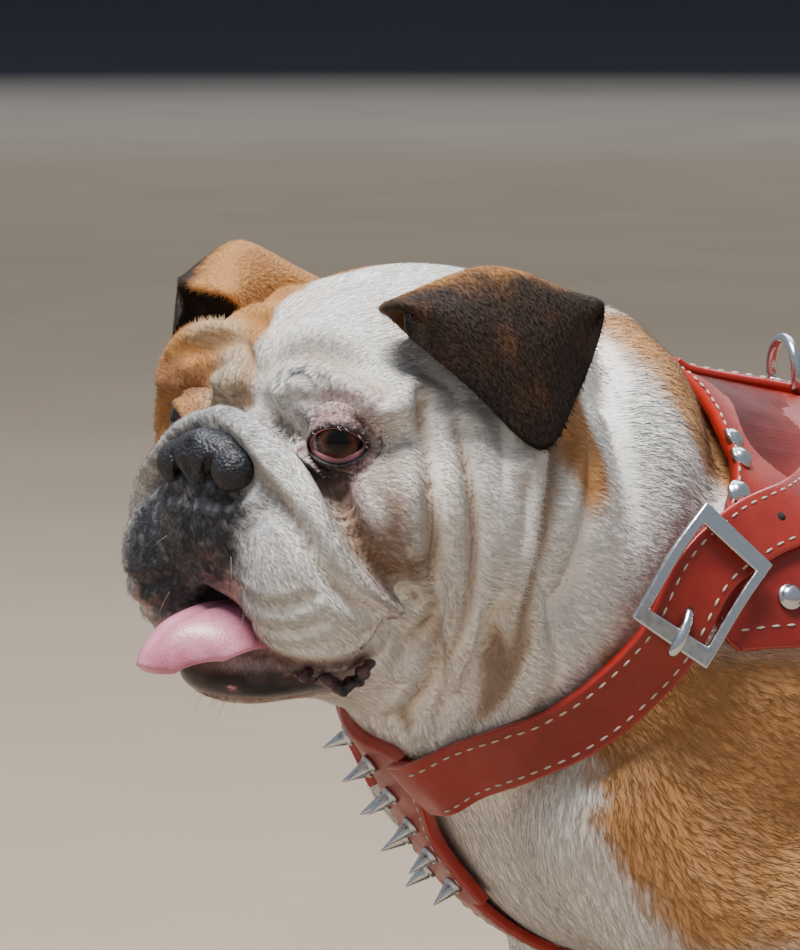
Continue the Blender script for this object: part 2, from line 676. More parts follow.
def lid_rows(side):
    """Rows of places from the eyeball out onto the face, each with how near it is to the ball"""
    margin = closed_line(OPENING, np.arange(LID_STEPS) / LID_STEPS)
    way = unit(margin - [0, -1.5])
    to_rope = np.clip(way @ ROPE_WAY, 0, 1)
    haw = HAW_WIDE * np.clip((-margin[:, 1] - 1) / 6, 0, 1)
    narrow = (1 if side > 0 else FAR_LIDS) * (1 - LID_NARROW * to_rope)
    upper = np.clip(margin[:, 1] / 3, 0, 1)
    rows = []
    for edge, height in zip(LID_EDGE, LID_HEIGHT):
        spot = margin + way * (edge - (haw if edge < -0.5 else 0 * haw))[:, None]
        forward = np.sqrt(np.maximum((EYE_RADIUS + height) ** 2 - (spot ** 2).sum(1), 4))
        rows.append((before_eye(spot, forward), 1 - 0.05 * len(rows)))
    for edge in LID_ROWS:
        spot = margin + way * (edge * narrow)[:, None]
        fold = upper * folded(edge, UPPER_FOLDS) + (1 - upper) * folded(edge, LOWER_FOLDS)
        sink = COAT_DEPTH * np.clip((edge - 2) / 5, 0, 1) + 3.5 * np.clip((edge - 9.5) / 4, 0, 1)
        deeper = 5 * to_rope ** 2 + (1 if side > 0 else 4)
        sink = sink + deeper * np.clip((edge - 5) / 8, 0, 1)
        forward = face_height(spot, side) - fold - sink
        rows.append((before_eye(spot, forward), 0.8 * (1 - edge / LID_ROWS[-1])))
    return rows

def lids(side):
    bm = bmesh.new()
    layer = bm.verts.layers.float.new("lid")
    rings = []
    for row, tag in lid_rows(side):
        ring = [bm.verts.new(p) for p in from_head(row * [1, side, 1])]
        for v in ring:
            v[layer] = tag
        rings.append(ring)
    for inner, outer in zip(rings[:-1], rings[1:]):
        for k in range(LID_STEPS):
            after = (k + 1) % LID_STEPS
            face = [inner[k], inner[after], outer[after], outer[k]]
            bm.faces.new(face if side < 0 else face[::-1])
    return object_from(bm, "lids")

with edited(skin) as bm:
    for piece in (ear(1), ear(-1), lids(1), lids(-1)):
        bm.from_mesh(piece.data)
        bpy.data.objects.remove(piece)
say("skin", len(skin.data.vertices), "vertices", len(skin.data.polygons), "faces")
# %% [markdown]
# The coat is white with tan patches, and the skin under it shows where hair is thin: slate
# round the nose, pink at the lips, plum round the eyes. Skin and hair must agree, so one
# function gives the colour at any point, and both read it. Edges between colours are ragged,
# because they follow clumps of hair.

# %% Colours of the coat
def linear(hex_code):
    """A colour written as sRGB hex, in linear light"""
    c = np.array([int(hex_code[i:i + 2], 16) / 255 for i in (1, 3, 5)])
    return np.where(c <= 0.04045, c / 12.92, ((c + 0.055) / 1.055) ** 2.4)

WHITE_HAIR = linear("#EEEAE4")
CREAM_HAIR = linear("#CDB89A")
TAN_HAIR = linear("#B98147")
DEEP_TAN = linear("#84552C")
EAR_BROWN = linear("#2C1E17")
EAR_BLACK = linear("#17130F")
SLATE_SKIN = linear("#26282F")
GREY_HAIR = linear("#7E7D80")
PINK_SKIN = linear("#C99184")
PLUM_SKIN = linear("#8A6263")
TEAR_STAIN = linear("#866149")
LIP_BLACK = linear("#17151A")
FOLD_SHADE = linear("#BFA488")
FOLD_DEEP = linear("#6B5244")
LIP_PLUM = linear("#3B2930")
INNER_LID = linear("#B0707A")

TEAR_TRACK = [[60, 46, -8], [60, 58, -18], [58, 65, -30], [48, 73, -44]]
CHEEK_STAIN = [[52, 70, 2], [52, 78, -14], [56, 76, -26], [50, 79, -38]]
CHEEK_CREAM = [[36, 84, 10], [37, 93, -12], [35, 94, -36], [30, 86, -58]]
FAR_HOLLOW = [[58, -39, 38], [58, -44, 23], [62, -56, 15]]
LIP_PINK = [[90, 8, -42], [86, 14, -54], [80, 22, -68], [72, 34, -76]]
LIP_RIM = [[94, 3, -42], [90, 6, -56], [82, 14, -68], [76, 24, -74]]
LIP_CORNER = [[48, 50, -80], [44, 56, -74], [46, 70, -62]]
LIP_INSIDE = [[90, 6, -62], [79, 24, -73], [70, 38, -79], [61, 46, -80], [52, 50, -78], [46, 56, -71],
              [48, 74, -59]]

def smoothstep(low, high, x):
    t = np.clip((x - low) / (high - low), 0, 1)
    return t * t * (3 - 2 * t)

def mottle(p, size, seed=0):
    """Soft random values about 0, whose lumps are about size across, at points in millimetres"""
    shift = Vector((seed * 17.3, seed * 5.1, -seed * 9.7))
    return np.array([noise.noise(Vector(q) + shift) for q in p / size])

def patch(p, at, half, soft=0.35):
    """1 inside an ellipsoid and 0 outside it, fading across its edge"""
    return 1 - smoothstep(1 - soft, 1 + soft, np.linalg.norm((p - at) / half, axis=1))

def beside(p, line, wide, soft=0.5):
    """1 along a line and 0 farther than wide from it"""
    line = np.array(line, float)
    return 1 - smoothstep(1 - soft, 1 + soft, to_tube(p, line, np.zeros(len(line))) / wide)

def mix(colour, other, share):
    return colour + (other - colour) * np.clip(share, 0, 1)[:, None]

class Painting:
    """Points being coloured: their places in both frames, random values, colour and bareness"""
    def __init__(self, points, ear, lid):
        self.h, self.b, self.ear, self.lid = to_head(points), to_body(points), ear, lid
        self.ragged = mottle(self.b, 9) * 0.8 + mottle(self.b, 3, 1) * 0.5
        self.speck = mottle(self.b, 1.6, 2) + 0.5 * mottle(self.b, 0.8, 3)
        self.low = relief(self.h)
        self.colour = np.tile(WHITE_HAIR, (len(self.h), 1)) * (1 + 0.05 * mottle(self.b, 14, 4))[:, None]
        self.bare = []

    def paint(self, other, share):
        self.colour = mix(self.colour, other, share)

def paint_body(c):
    """Tan behind the shoulder and on the neck; white chest, belly and legs"""
    h, b, ragged = c.h, c.b, c.ragged
    x, z = b[:, 0], b[:, 2]
    front = x + 206 + 8 * ragged - 0.05 * (z - 240) - 30 * smoothstep(236, 186, z)
    tan = smoothstep(-6, 6, front) * smoothstep(-8, 8, np.abs(b[:, 1]) - 40 + 0.5 * (x + 206))
    tan *= smoothstep(168, 196, z + 6 * ragged) * (1 - smoothstep(150, 190, x) * smoothstep(250, 200, z))
    neck_white = smoothstep(-142, -160, x + 0.55 * (z - 380) + 4 * ragged)
    tan *= 1 - neck_white * smoothstep(296, 316, z)
    tan = np.maximum(tan, patch(b, [-146, -70, 388], [18, 34, 34], 0.2))
    tan = np.maximum(tan, patch(h, [-26, 92, 14], [13, 22, 40], 0.2))
    c.paint(TAN_HAIR * (1 + 0.07 * mottle(b, 26, 5))[:, None], tan * (0.96 + 0.03 * ragged))

def paint_far_face(c):
    """The tan half of the face, which is the dog's right, with cream and deep tan on its brow"""
    h, (f, s, u) = c.h, c.h.T
    edge = -5 - 9 * smoothstep(38, 6, f)
    far = smoothstep(-3, 3, edge - s + 3 * c.ragged) * smoothstep(-70, -30, f)
    far = far * smoothstep(-62, -44, u + 5 * c.ragged)
    far *= 1 - smoothstep(62, 70, f - 0.35 * (u - 10)) * smoothstep(-76, -62, s)
    c.paint(TAN_HAIR, far)
    c.paint(CREAM_HAIR, far * patch(h, [60, -22, 28], [15, 14, 17]) * 0.9)
    c.paint(CREAM_HAIR, far * patch(h, [56, -36, 44], [14, 18, 8]) * 0.6)
    c.paint(DEEP_TAN, far * patch(h, [54, -60, 22], [14, 12, 13]) * 0.5)
    c.paint(LIP_BLACK, beside(h, FAR_HOLLOW, 4.5, 0.7) * (s < 0) * 0.75)
    c.paint(FOLD_SHADE, smoothstep(0.8, 4.5, c.low) * (1 - far) * 0.65)

def paint_round_eye(c, side):
    """Tear stains, plum skin and dark hairs round one eye, weaker on the dog's right"""
    q, speck = c.h * [1, side, 1], c.speck
    near, plum = (1.0, 1.0) if side > 0 else (0.5, 0.25)
    c.paint(TEAR_STAIN, near * (beside(q, CHEEK_STAIN, 10, 0.8) * (0.75 + 0.5 * c.ragged)) * 0.8)
    c.paint(TEAR_STAIN, near * beside(q, TEAR_TRACK, 9, 0.9) * (0.85 + 0.2 * speck))
    c.paint(CREAM_HAIR, near * beside(q, CHEEK_CREAM, 5, 0.9) * 0.45)
    c.paint(PLUM_SKIN, plum * patch(q, EYE + [4, 4, 11], [16, 20, 11], 0.6) * (0.75 + 0.4 * speck))
    c.paint(PLUM_SKIN, plum * patch(q, EYE + [5, 6, -14], [13, 17, 9], 0.6) * (0.6 + 0.5 * speck))
    dark = patch(q, EYE + [11, -12, 5], [9, 8, 9], 0.6) + patch(q, EYE + [6, 12, 3], [8, 8, 8], 0.6)
    dark = dark + patch(q, EYE + [8, 3, -11], [9, 14, 5], 0.6)
    ringed = near ** 2 * np.clip(1.3 * dark - 0.25, 0, 1) * smoothstep(-0.7, 0.3, speck) * 0.8
    c.paint(LIP_BLACK, ringed)
    c.paint(FOLD_DEEP, smoothstep(2.5, 6, c.low) * 0.45)
    spots = patch(q, [60, 20, 34], [9, 8, 8], 0.8) + patch(q, [57, 33, 33], [8, 10, 7], 0.8)
    c.paint(SLATE_SKIN, near * spots * smoothstep(-0.3, 0.4, speck) * 0.9)
    return ringed

def paint_muzzle(c):
    """Slate round the nose, fading through grey speckle into white, with pink at the lips"""
    h, ragged = c.h, c.ragged
    reach = np.linalg.norm((h - [90, -4, -22]) / [30, 27, 34], axis=1)
    reach = np.minimum(reach, np.linalg.norm((h - [92, -22, -36]) / [24, 24, 34], axis=1))
    slate = 1 - smoothstep(0.85, 1.25, reach + 0.12 * ragged)
    grey = (1 - smoothstep(1.0, 2.4, reach + 0.15 * ragged)) * smoothstep(40, 60, h[:, 0])
    c.paint(GREY_HAIR, grey * (0.75 + 0.6 * c.speck))
    pink = beside(h, LIP_PINK, 8, 0.8) + patch(h, [86, -36, -62], [10, 8, 14])
    pink *= smoothstep(-0.15, 0.15, ragged + 0.15)
    rim = beside(h, LIP_RIM, 3.2, 0.6)
    c.paint(SLATE_SKIN, slate * (1.0 + 0.25 * c.speck))
    c.paint(PINK_SKIN, pink * (1 - 0.8 * slate) * 0.7)
    c.paint(SLATE_SKIN, rim * smoothstep(-0.3, 0.2, ragged))
    c.bare += [rim, 0.6 * slate, 0.4 * pink]

def paint_lower_lip(c):
    """The lower lip: black, with pink and grey spots under it"""
    h, u, ragged, speck = c.h, c.h[:, 2], c.ragged, c.speck
    lips = patch(h, [64, 0, -86], [34, 48, 9], 0.25) * smoothstep(-97, -92, u)
    lips = np.maximum(lips, beside(h, LIP_CORNER, 6, 0.5))
    inside = beside(h, LIP_INSIDE, 4.4, 0.4)
    lips = np.maximum(lips, inside * (u < -60))
    chin = patch(h, [70, 4, -95], [32, 40, 9], 0.4)
    c.paint(PINK_SKIN, np.maximum(chin * smoothstep(-0.5, 0.2, ragged), lips) * 0.85)
    c.paint(GREY_HAIR, chin * smoothstep(0.1, 0.6, speck) * 0.8)
    black = mix(np.tile(LIP_BLACK, (len(h), 1)), LIP_PLUM, smoothstep(-0.2, 0.5, mottle(c.b, 5, 7)))
    c.paint(black, lips * smoothstep(-0.95, -0.55, ragged + 0.3 * speck))
    c.bare += [lips, inside]

def paint_ears(c):
    """Tan over the ears' ridge, then brown that darkens to the edge; black in the mouth"""
    h, (_, s, u), ear = c.h, c.h.T, c.ear
    c.paint(TAN_HAIR * 0.9, smoothstep(0.12, 0.2, ear))
    c.paint(EAR_BROWN, smoothstep(0.2, 0.34, ear) * (s > 0) * smoothstep(66, 60, u) * 0.8)
    brown = smoothstep(0.56, 0.68, ear + 0.06 * c.ragged)
    c.paint(EAR_BROWN, brown)
    c.paint(DEEP_TAN, brown * smoothstep(0.0, 0.8, mottle(c.b * [1, 1, 0.35], 9, 6)) * 0.34)
    c.paint(EAR_BLACK, patch(h, [30, -62, 50], [10, 9, 8], 0.4) * 0.85)
    c.paint(EAR_BLACK, smoothstep(0.9, 1.0, ear) * 0.5)
    mouth = smoothstep(1.5, -1.5, to_ellipsoid(h, MOUTH))
    c.paint(LIP_BLACK, mouth)
    c.bare.append(mouth)

def paint_lids(c, round_eye):
    """Plum lids with dark specks, a black rim and the pink inner lid; the far ones are tan"""
    s, lid, speck = c.h[:, 1], c.lid, c.speck
    plum = smoothstep(0.25, 0.6, lid + 0.1 * speck)
    line = np.exp(-((lid - 0.5) / 0.06) ** 2)
    c.paint(PLUM_SKIN, plum * (0.66 + 0.3 * speck) * (s > 0))
    c.paint(TAN_HAIR * 0.75, plum * 0.85 * (s < 0))
    c.paint(LIP_BLACK, line * (s > 0) * smoothstep(-0.6, 0.4, speck) * 0.6)
    c.paint(LIP_BLACK, round_eye * smoothstep(0.0, 0.3, lid) * 0.7)
    c.paint(LIP_BLACK, smoothstep(0.6, 0.78, lid + 0.06 * speck))
    c.paint(INNER_LID, smoothstep(0.91, 0.945, lid))
    c.bare += [smoothstep(0.7, 0.8, lid), 0.4 * plum]

def coat_colour(points, ear, lid):
    """Linear colour and bareness at points in metres; ear grows out along an ear, lid in to the eye"""
    c = Painting(points, ear, lid)
    paint_body(c)
    paint_far_face(c)
    round_eye = np.maximum(paint_round_eye(c, 1), paint_round_eye(c, -1))
    paint_muzzle(c)
    paint_lower_lip(c)
    paint_ears(c)
    paint_lids(c, round_eye)
    return np.clip(c.colour, 0, 1), np.clip(np.maximum.reduce(c.bare), 0, 1)

# %% Markings of the skin
def vertex_values(mesh, name):
    out = np.zeros(len(mesh.vertices), np.float32)
    mesh.attributes[name].data.foreach_get("value", out)
    return out

def set_values(mesh, name, values):
    """Stores a number, a vector or a linear colour for each vertex"""
    values = np.asarray(values, np.float32)
    width = values.shape[1] if values.ndim > 1 else 1
    kind, key = {1: ("FLOAT", "value"), 3: ("FLOAT_VECTOR", "vector"), 4: ("FLOAT_COLOR", "color")}[width]
    mesh.attributes.new(name, kind, "POINT").data.foreach_set(key, values.ravel())

def set_colour(mesh, colour):
    set_values(mesh, "coat", np.hstack([colour, np.ones((len(colour), 1))]))

along_ear = vertex_values(skin.data, "along_ear")
near_lid = vertex_values(skin.data, "lid")
skin_colour, skin_bare = coat_colour(vertices(skin.data), along_ear, near_lid)
set_colour(skin.data, skin_colour)
set_values(skin.data, "bare", skin_bare)
say("markings")

# %% [markdown]
# Materials are built from nodes. One small function adds a node, sets its values and joins
# what goes into it. The coat's shader reads the colour that the mesh carries.

# %% Nodes and the coat's material
def feed(node, inputs):
    """Sets a node's inputs, by name or number, each to a value or to another node's output"""
    for key, value in inputs.items():
        if isinstance(value, bpy.types.NodeSocket):
            node.id_data.links.new(value, node.inputs[key])
        else:
            node.inputs[key].default_value = value

def add(tree, kind, inputs=(), **settings):
    """Adds a node with its settings and feeds its inputs"""
    node = tree.nodes.new(kind)
    for name, value in settings.items():
        setattr(node, name, value)
    feed(node, dict(inputs))
    return node

def material(name):
    """A new material, its nodes and its main shader"""
    m = bpy.data.materials.new(name)
    m.use_nodes = True
    return m, m.node_tree, m.node_tree.nodes["Principled BSDF"]

def set_stops(ramp, stops):
    """Gives a colour ramp its places and sRGB colours, and returns its output"""
    elements = ramp.color_ramp.elements
    while len(elements) < len(stops):
        elements.new(0.5)
    for element, (at, colour) in zip(elements, stops):
        element.position = at
        element.color = (*linear(colour), 1)
    return ramp.outputs["Color"]

OWN_LIGHT = 0.35

def short_coat(name, over=False):
    """Short flat hair: dull, with a little light in its fuzz, moist where bare, lit as the skin below"""
    m, tree, shader = material(name)
    colour = add(tree, "ShaderNodeAttribute", attribute_name="coat")
    bare = add(tree, "ShaderNodeAttribute", attribute_name="bare")
    rough = add(tree, "ShaderNodeMapRange", {"Value": bare.outputs["Fac"], "To Min": 0.72, "To Max": 0.32})
    if over:
        skin_way = add(tree, "ShaderNodeAttribute", attribute_name="skin_way")
        own_way = add(tree, "ShaderNodeNewGeometry")
        part = {0: own_way.outputs["Normal"], "Scale": OWN_LIGHT}
        part = add(tree, "ShaderNodeVectorMath", part, operation="SCALE")
        both = {0: part.outputs[0], 1: skin_way.outputs["Vector"]}
        both = add(tree, "ShaderNodeVectorMath", both, operation="ADD")
        way = add(tree, "ShaderNodeVectorMath", {0: both.outputs[0]}, operation="NORMALIZE").outputs[0]
    else:
        place = add(tree, "ShaderNodeTexCoord").outputs["Object"]
        grain = add(tree, "ShaderNodeTexNoise", {"Vector": place, "Scale": 1 / (1.4 * MM), "Detail": 3})
        fine = {"Height": grain.outputs["Fac"], "Strength": 0.35, "Distance": 0.6 * MM}
        way = add(tree, "ShaderNodeBump", fine).outputs["Normal"]
    feed(shader, {"Base Color": colour.outputs["Color"], "Roughness": rough.outputs["Result"], "Normal": way,
                  "Sheen Weight": 0.08, "Sheen Roughness": 0.5, "Specular IOR Level": 0.25})
    return m

dress(skin, short_coat("short_dog_hair_over_skin"))
hair_material = short_coat("flat_lying_dog_hair", over=True)

# %% [markdown]
# Real hair on a bulldog is 5 to 12 mm long and lies flat, so from a step away it is grain and a
# soft edge. Each tuft here is a thin closed spike of four triangles that leans over the skin
# along the lie of the coat. Hundreds of thousands are laid out with numpy, because each is only
# a copy with its own place, turn, length and shade.

# %% Lie, length and density of the coat
def closeness(p, at, wide):
    """1 at a point, falling softly to 0 beyond its width"""
    return np.exp(-(np.linalg.norm(p - at, axis=1) / wide) ** 2)

def lie_of_coat(points, ear):
    """Which way the hair points, and how far each place belongs to the head"""
    h, b = to_head(points), to_body(points)
    from_nose = h - [92, 0, -4]
    face = from_nose / (np.linalg.norm(from_nose, axis=1)[:, None] + 1e-6)
    face[:, 2] -= 0.15
    for side in (1, -1):
        away = h - (EYE + [6, 4, 0]) * [1, side, 1]
        close = closeness(away, 0, 20)[:, None]
        face = face * (1 - close) + close * away / (np.linalg.norm(away, axis=1)[:, None] + 1e-6)
    face = face @ HEAD_AXES
    trunk = np.tile([1.0, 0.0, -0.45], (len(b), 1))
    down = np.tile([0.2, 0.0, -1.0], (len(b), 1))
    leg = (smoothstep(200, 150, b[:, 2]))[:, None]
    breast = (smoothstep(-150, -200, b[:, 0]) * smoothstep(330, 300, b[:, 2]))[:, None]
    body = trunk + (down - trunk) * np.maximum(leg, breast)
    on_head = (smoothstep(-70, -40, h[:, 0]) * smoothstep(-124, -104, h[:, 2]))[:, None]
    flow = body * (1 - on_head) + face * on_head
    out = np.sign(h[:, 1:2]) * HEAD_AXES[1] * 0.8 + [0, 0, -0.55] - 0.1 * FORWARD
    on_ear = smoothstep(0.1, 0.2, ear)[:, None]
    return flow * (1 - on_ear) + out * on_ear, on_head[:, 0]

def near_eyes(points, wide):
    return sum(closeness(to_head(points), EYE * [1, side, 1], wide) for side in (1, -1))

def hair_length(points, ear, on_head, bare):
    """Length in mm: short on the muzzle, round the eyes, on ears and paws, and in the creases"""
    h, b = to_head(points), to_body(points)
    muzzle = 1 - smoothstep(20, 70, np.linalg.norm(h - [88, 0, -20], axis=1))
    face = 4.6 - 2.0 * muzzle - 2.4 * near_eyes(points, 22)
    body = 7.5 - 2.0 * smoothstep(190, 120, b[:, 2]) - 2.5 * smoothstep(60, 30, b[:, 2])
    length = body * (1 - on_head) + face * on_head
    length = np.where(ear > 0.12, 3.0, length)
    return length * (1 - 0.6 * bare) * (1 - 0.55 * smoothstep(1, 5, relief(h)))

# %% Tufts
TUFTS = 330_000
TUFTS_IN_PIECE = 48_000
HAIR_WIDE = 0.52
HAIR_THICK = 0.07

def triangles_of(mesh):
    mesh.calc_loop_triangles()
    corners = np.empty(len(mesh.loop_triangles) * 3, np.int32)
    mesh.loop_triangles.foreach_get("vertices", corners)
    return corners.reshape(-1, 3)

def scatter(mesh, count):
    """Even random places on a mesh, more where hair is fine: corners of triangles, and weights"""
    tri = triangles_of(mesh)
    p = vertices(mesh)
    a, b, c = (p[tri[:, k]] for k in range(3))
    area = np.linalg.norm(np.cross(b - a, c - a), axis=1) / 2
    centre = (a + b + c) / 3
    ear = along_ear[tri].mean(1)
    h = to_head(centre)
    on_head = smoothstep(-90, -40, h[:, 0]) * smoothstep(-130, -100, h[:, 2])
    muzzle = closeness(h, [70, 0, -20], 60)
    weight = area * (1 + 2.2 * on_head + 2.4 * muzzle + 1.5 * (ear > 0.1))
    weight *= (skin_bare[tri].mean(1) < 0.8) & (centre[:, 2] > 2 * MM)
    weight *= (ear > 0.02) | (to_ellipsoid(h, MOUTH) > -1)
    total = np.cumsum(weight)
    at = (np.arange(count) + RNG.random(count)) / count * total[-1]
    chosen = tri[np.searchsorted(total, at)]
    r1, r2 = np.sqrt(RNG.random(count)), RNG.random(count)
    return chosen, np.stack([1 - r1, r1 * (1 - r2), r1 * r2], 1)

def blend_at(values, corners, weights):
    return np.einsum("nk,nk...->n...", weights, values[corners])

def unwrap_proxy():
    """A coarse copy of the skin, unwrapped, that lends each tuft the place of its root"""
    proxy = add_object("proxy", skin.data.copy())
    remesh(proxy, 12 * MM)
    bpy.ops.object.select_all(action="DESELECT")
    bpy.context.view_layer.objects.active = proxy
    proxy.select_set(True)
    bpy.ops.object.mode_set(mode="EDIT")
    bpy.ops.mesh.select_all(action="SELECT")
    bpy.ops.uv.smart_project(angle_limit=math.radians(66), island_margin=0.004)
    bpy.ops.object.mode_set(mode="OBJECT")
    mesh = proxy.data
    tri = triangles_of(mesh)
    loops = np.empty(len(mesh.loop_triangles) * 3, np.int32)
    mesh.loop_triangles.foreach_get("loops", loops)
    uv = np.empty(len(mesh.loops) * 2)
    mesh.uv_layers.active.data.foreach_get("uv", uv)
    uv = uv.reshape(-1, 2)[loops.reshape(-1, 3)]
    p = vertices(mesh)
    tree = BVHTree.FromPolygons([Vector(v) for v in p], [tuple(t) for t in tri.tolist()])
    bpy.data.objects.remove(proxy)
    return tree, p, tri, uv

def root_uv(points):
    tree, p, tri, uv = unwrap_proxy()
    found = np.array([tree.find_nearest(Vector(q))[2] for q in points])
    a, b, c = (p[tri[found, k]] for k in range(3))
    e1, e2, q = b - a, c - a, points - a
    d11, d12, d22 = (e1 * e1).sum(1), (e1 * e2).sum(1), (e2 * e2).sum(1)
    q1, q2 = (q * e1).sum(1), (q * e2).sum(1)
    area = d11 * d22 - d12 * d12 + 1e-18
    v, w = (d22 * q1 - d12 * q2) / area, (d11 * q2 - d12 * q1) / area
    v, w = np.clip(v, 0, 1), np.clip(w, 0, 1)
    return uv[found, 0] * (1 - v - w)[:, None] + uv[found, 1] * v[:, None] + uv[found, 2] * w[:, None]

CORNERS, WEIGHTS = scatter(skin.data, TUFTS)
roots, hair_ear, hair_bare, hair_colour, hair_lid = (
    blend_at(values, CORNERS, WEIGHTS)
    for values in (vertices(skin.data), along_ear, skin_bare, skin_colour, near_lid))
up = unit(blend_at(vertices(skin.data, "normal"), CORNERS, WEIGHTS))
flow, on_head = lie_of_coat(roots, hair_ear)
flow -= up * (flow * up).sum(1)[:, None]
flow /= np.linalg.norm(flow, axis=1)[:, None] + 1e-9
side = np.cross(flow, up)
turn = RNG.normal(0, 0.22, TUFTS)[:, None]
flow = flow * np.cos(turn) + side * np.sin(turn)
side = np.cross(flow, up)
length = hair_length(roots, hair_ear, on_head, hair_bare) * RNG.uniform(0.7, 1.25, TUFTS) * MM
length *= 1 - 0.6 * smoothstep(0.0, 0.4, hair_lid)
lift = np.clip(RNG.normal(0.09, 0.045, TUFTS), 0.02, 0.35) * (1 - 0.6 * smoothstep(0.0, 0.3, hair_lid))
eyeward = near_eyes(roots, 24)
wide = HAIR_WIDE * MM * (1.35 - 0.7 * on_head) * (1 - 0.35 * eyeward) * RNG.uniform(0.7, 1.2, TUFTS)
say("tufts placed")

TUFT_FACES = np.array([[0, 1, 3], [1, 2, 3], [2, 0, 3], [0, 2, 1]])
UV_PATCH = 0.003
ROOT_SUNK = 0.04 * MM
RIDGE_AHEAD = 0.1 * MM
LOWEST_TIP = 0.3 * MM
ROOT_TONE = np.array([0.95, 0.98, 0.95, 1.03])
tip = roots + (flow * np.cos(lift)[:, None] + up * np.sin(lift)[:, None]) * length[:, None]
tip[:, 2] = np.maximum(tip[:, 2], LOWEST_TIP)
aside = side * (wide / 2)[:, None]
tuft_points = np.stack([
    roots - aside - up * ROOT_SUNK,
    roots + flow * RIDGE_AHEAD + up * (HAIR_THICK * MM),
    roots + aside - up * ROOT_SUNK,
    tip,
], 1)
tone = RNG.normal(1, 0.05, TUFTS)[:, None]
hair_colour = np.clip(hair_colour * tone, 0, 1)
tuft_colours = np.clip(hair_colour[:, None] * ROOT_TONE[None, :, None], 0, 1)
patch_corners = np.array([[0, 0], [0.5, 1], [1, 0], [0.5, 0.5]]) * UV_PATCH
tuft_uv = root_uv(roots)[:, None] + patch_corners[None]
say("tufts unwrapped")

def tuft_piece(name, chosen):
    mesh, links = mesh_of_copies(name, tuft_points[chosen], TUFT_FACES)
    set_colour(mesh, tuft_colours[chosen].reshape(-1, 3))
    set_values(mesh, "bare", np.repeat(hair_bare[chosen] * 0.5, 4))
    layer = mesh.uv_layers.new(name="OFBake")
    layer.data.foreach_set("uv", tuft_uv[chosen].reshape(-1, 2)[links].astype(np.float32).ravel())
    set_values(mesh, "skin_way", np.repeat(up[chosen], 4, 0))
    mesh.materials.append(hair_material)
    return add_object(name, mesh)

def regions(points, ear):
    h, b = to_head(points), to_body(points)
    on_head = (h[:, 0] > -60) & (h[:, 2] > -112)
    region = np.where(b[:, 2] < 175, 6, np.where(b[:, 0] < -110, 4, 5))
    region = np.where(on_head, np.where(h[:, 1] > 0, 0, 1), region)
    region = np.where(on_head & (h[:, 0] > 40), np.where(h[:, 1] > 0, 2, 3), region)
    return np.where(ear > 0.06, 7, region)

REGIONS = ["cheek_left", "cheek_right", "muzzle_left", "muzzle_right", "neck", "back", "legs", "ears"]
region = regions(roots, hair_ear)
coat_pieces = []
for k, name in enumerate(REGIONS):
    members = np.where(region == k)[0]
    parts = max(1, math.ceil(len(members) / TUFTS_IN_PIECE))
    for part in range(parts):
        chosen = members[part::parts]
        if len(chosen):
            coat_pieces.append(tuft_piece(f"coat_{name}" + (f"_{part + 1}" if parts > 1 else ""), chosen))
say("coat pieces", [(p.name, len(p.data.polygons)) for p in coat_pieces])
# %% [markdown]
# A dog's eye is a ball with a clear cornea that bulges over a large dark iris. Its colours are
# rings round the gaze, so the shader needs only the angle from it. Its surface is nearly a
# mirror, and the small highlight on it makes the eye look alive.

# %% Eyes
NEAR_GAZE = unit(np.array([0.72, 0.69, 0.05]))
FAR_GAZE = np.array([0.86, -0.5, 0.05])
CORNEA_BULGE = 1.0
IRIS_ANGLE = 46
EYE_RINGS = [(0.0, "#040303"), (0.20, "#060404"), (0.23, "#1E0D06"), (0.33, "#4A2611"), (0.43, "#361A0C"),
             (0.49, "#0A0605"), (0.54, "#120B09"), (0.62, "#83736C"), (1.0, "#B09E94")]

def eye_material():
    """Wet eye: dark pupil, warm brown iris with fine spokes, black limbus, veined white"""
    m, tree, shader = material("wet_eye")
    angle = add(tree, "ShaderNodeAttribute", attribute_name="angle").outputs["Fac"]
    place = add(tree, "ShaderNodeAttribute", attribute_name="spoke").outputs["Vector"]
    spokes = add(tree, "ShaderNodeTexNoise", {"Vector": place, "Scale": 7, "Detail": 4}).outputs["Fac"]
    wobble = add(tree, "ShaderNodeMath", {0: spokes, 1: 0.05}, operation="MULTIPLY").outputs[0]
    ringed = add(tree, "ShaderNodeMath", {0: angle, 1: wobble}, operation="ADD").outputs[0]
    rings = set_stops(add(tree, "ShaderNodeValToRGB", {"Fac": ringed}), EYE_RINGS)
    feed(shader, {"Base Color": rings, "Roughness": 0.05, "Specular IOR Level": 0.3})
    return m

def eye(side, look):
    bm = bmesh.new()
    bmesh.ops.create_uvsphere(bm, u_segments=64, v_segments=48, radius=1)
    spots = np.array([v.co for v in bm.verts])
    angle = np.degrees(np.arccos(np.clip(spots[:, 2], -1, 1)))
    bulge = CORNEA_BULGE * np.clip(1 - (angle / IRIS_ANGLE) ** 2, 0, 1)
    across = unit(np.cross(UP, look))
    out = spots @ np.stack([across, np.cross(look, across), look])
    at = from_head((EYE * [1, side, 1]) + out * (EYE_RADIUS + bulge)[:, None])
    for v, p in zip(bm.verts, at):
        v.co = p
    bmesh.ops.recalc_face_normals(bm, faces=bm.faces)
    piece = object_from(bm, "eye_left" if side > 0 else "eye_right")
    turn = np.arctan2(spots[:, 1], spots[:, 0])
    set_values(piece.data, "angle", angle / 100)
    set_values(piece.data, "spoke", np.stack([np.cos(turn), np.sin(turn), 0.3 * angle / 100], 1))
    return piece

eye_wet = eye_material()
eyes = [eye(1, NEAR_GAZE), eye(-1, FAR_GAZE)]
for piece in eyes:
    dress(piece, eye_wet)
say("eyes")

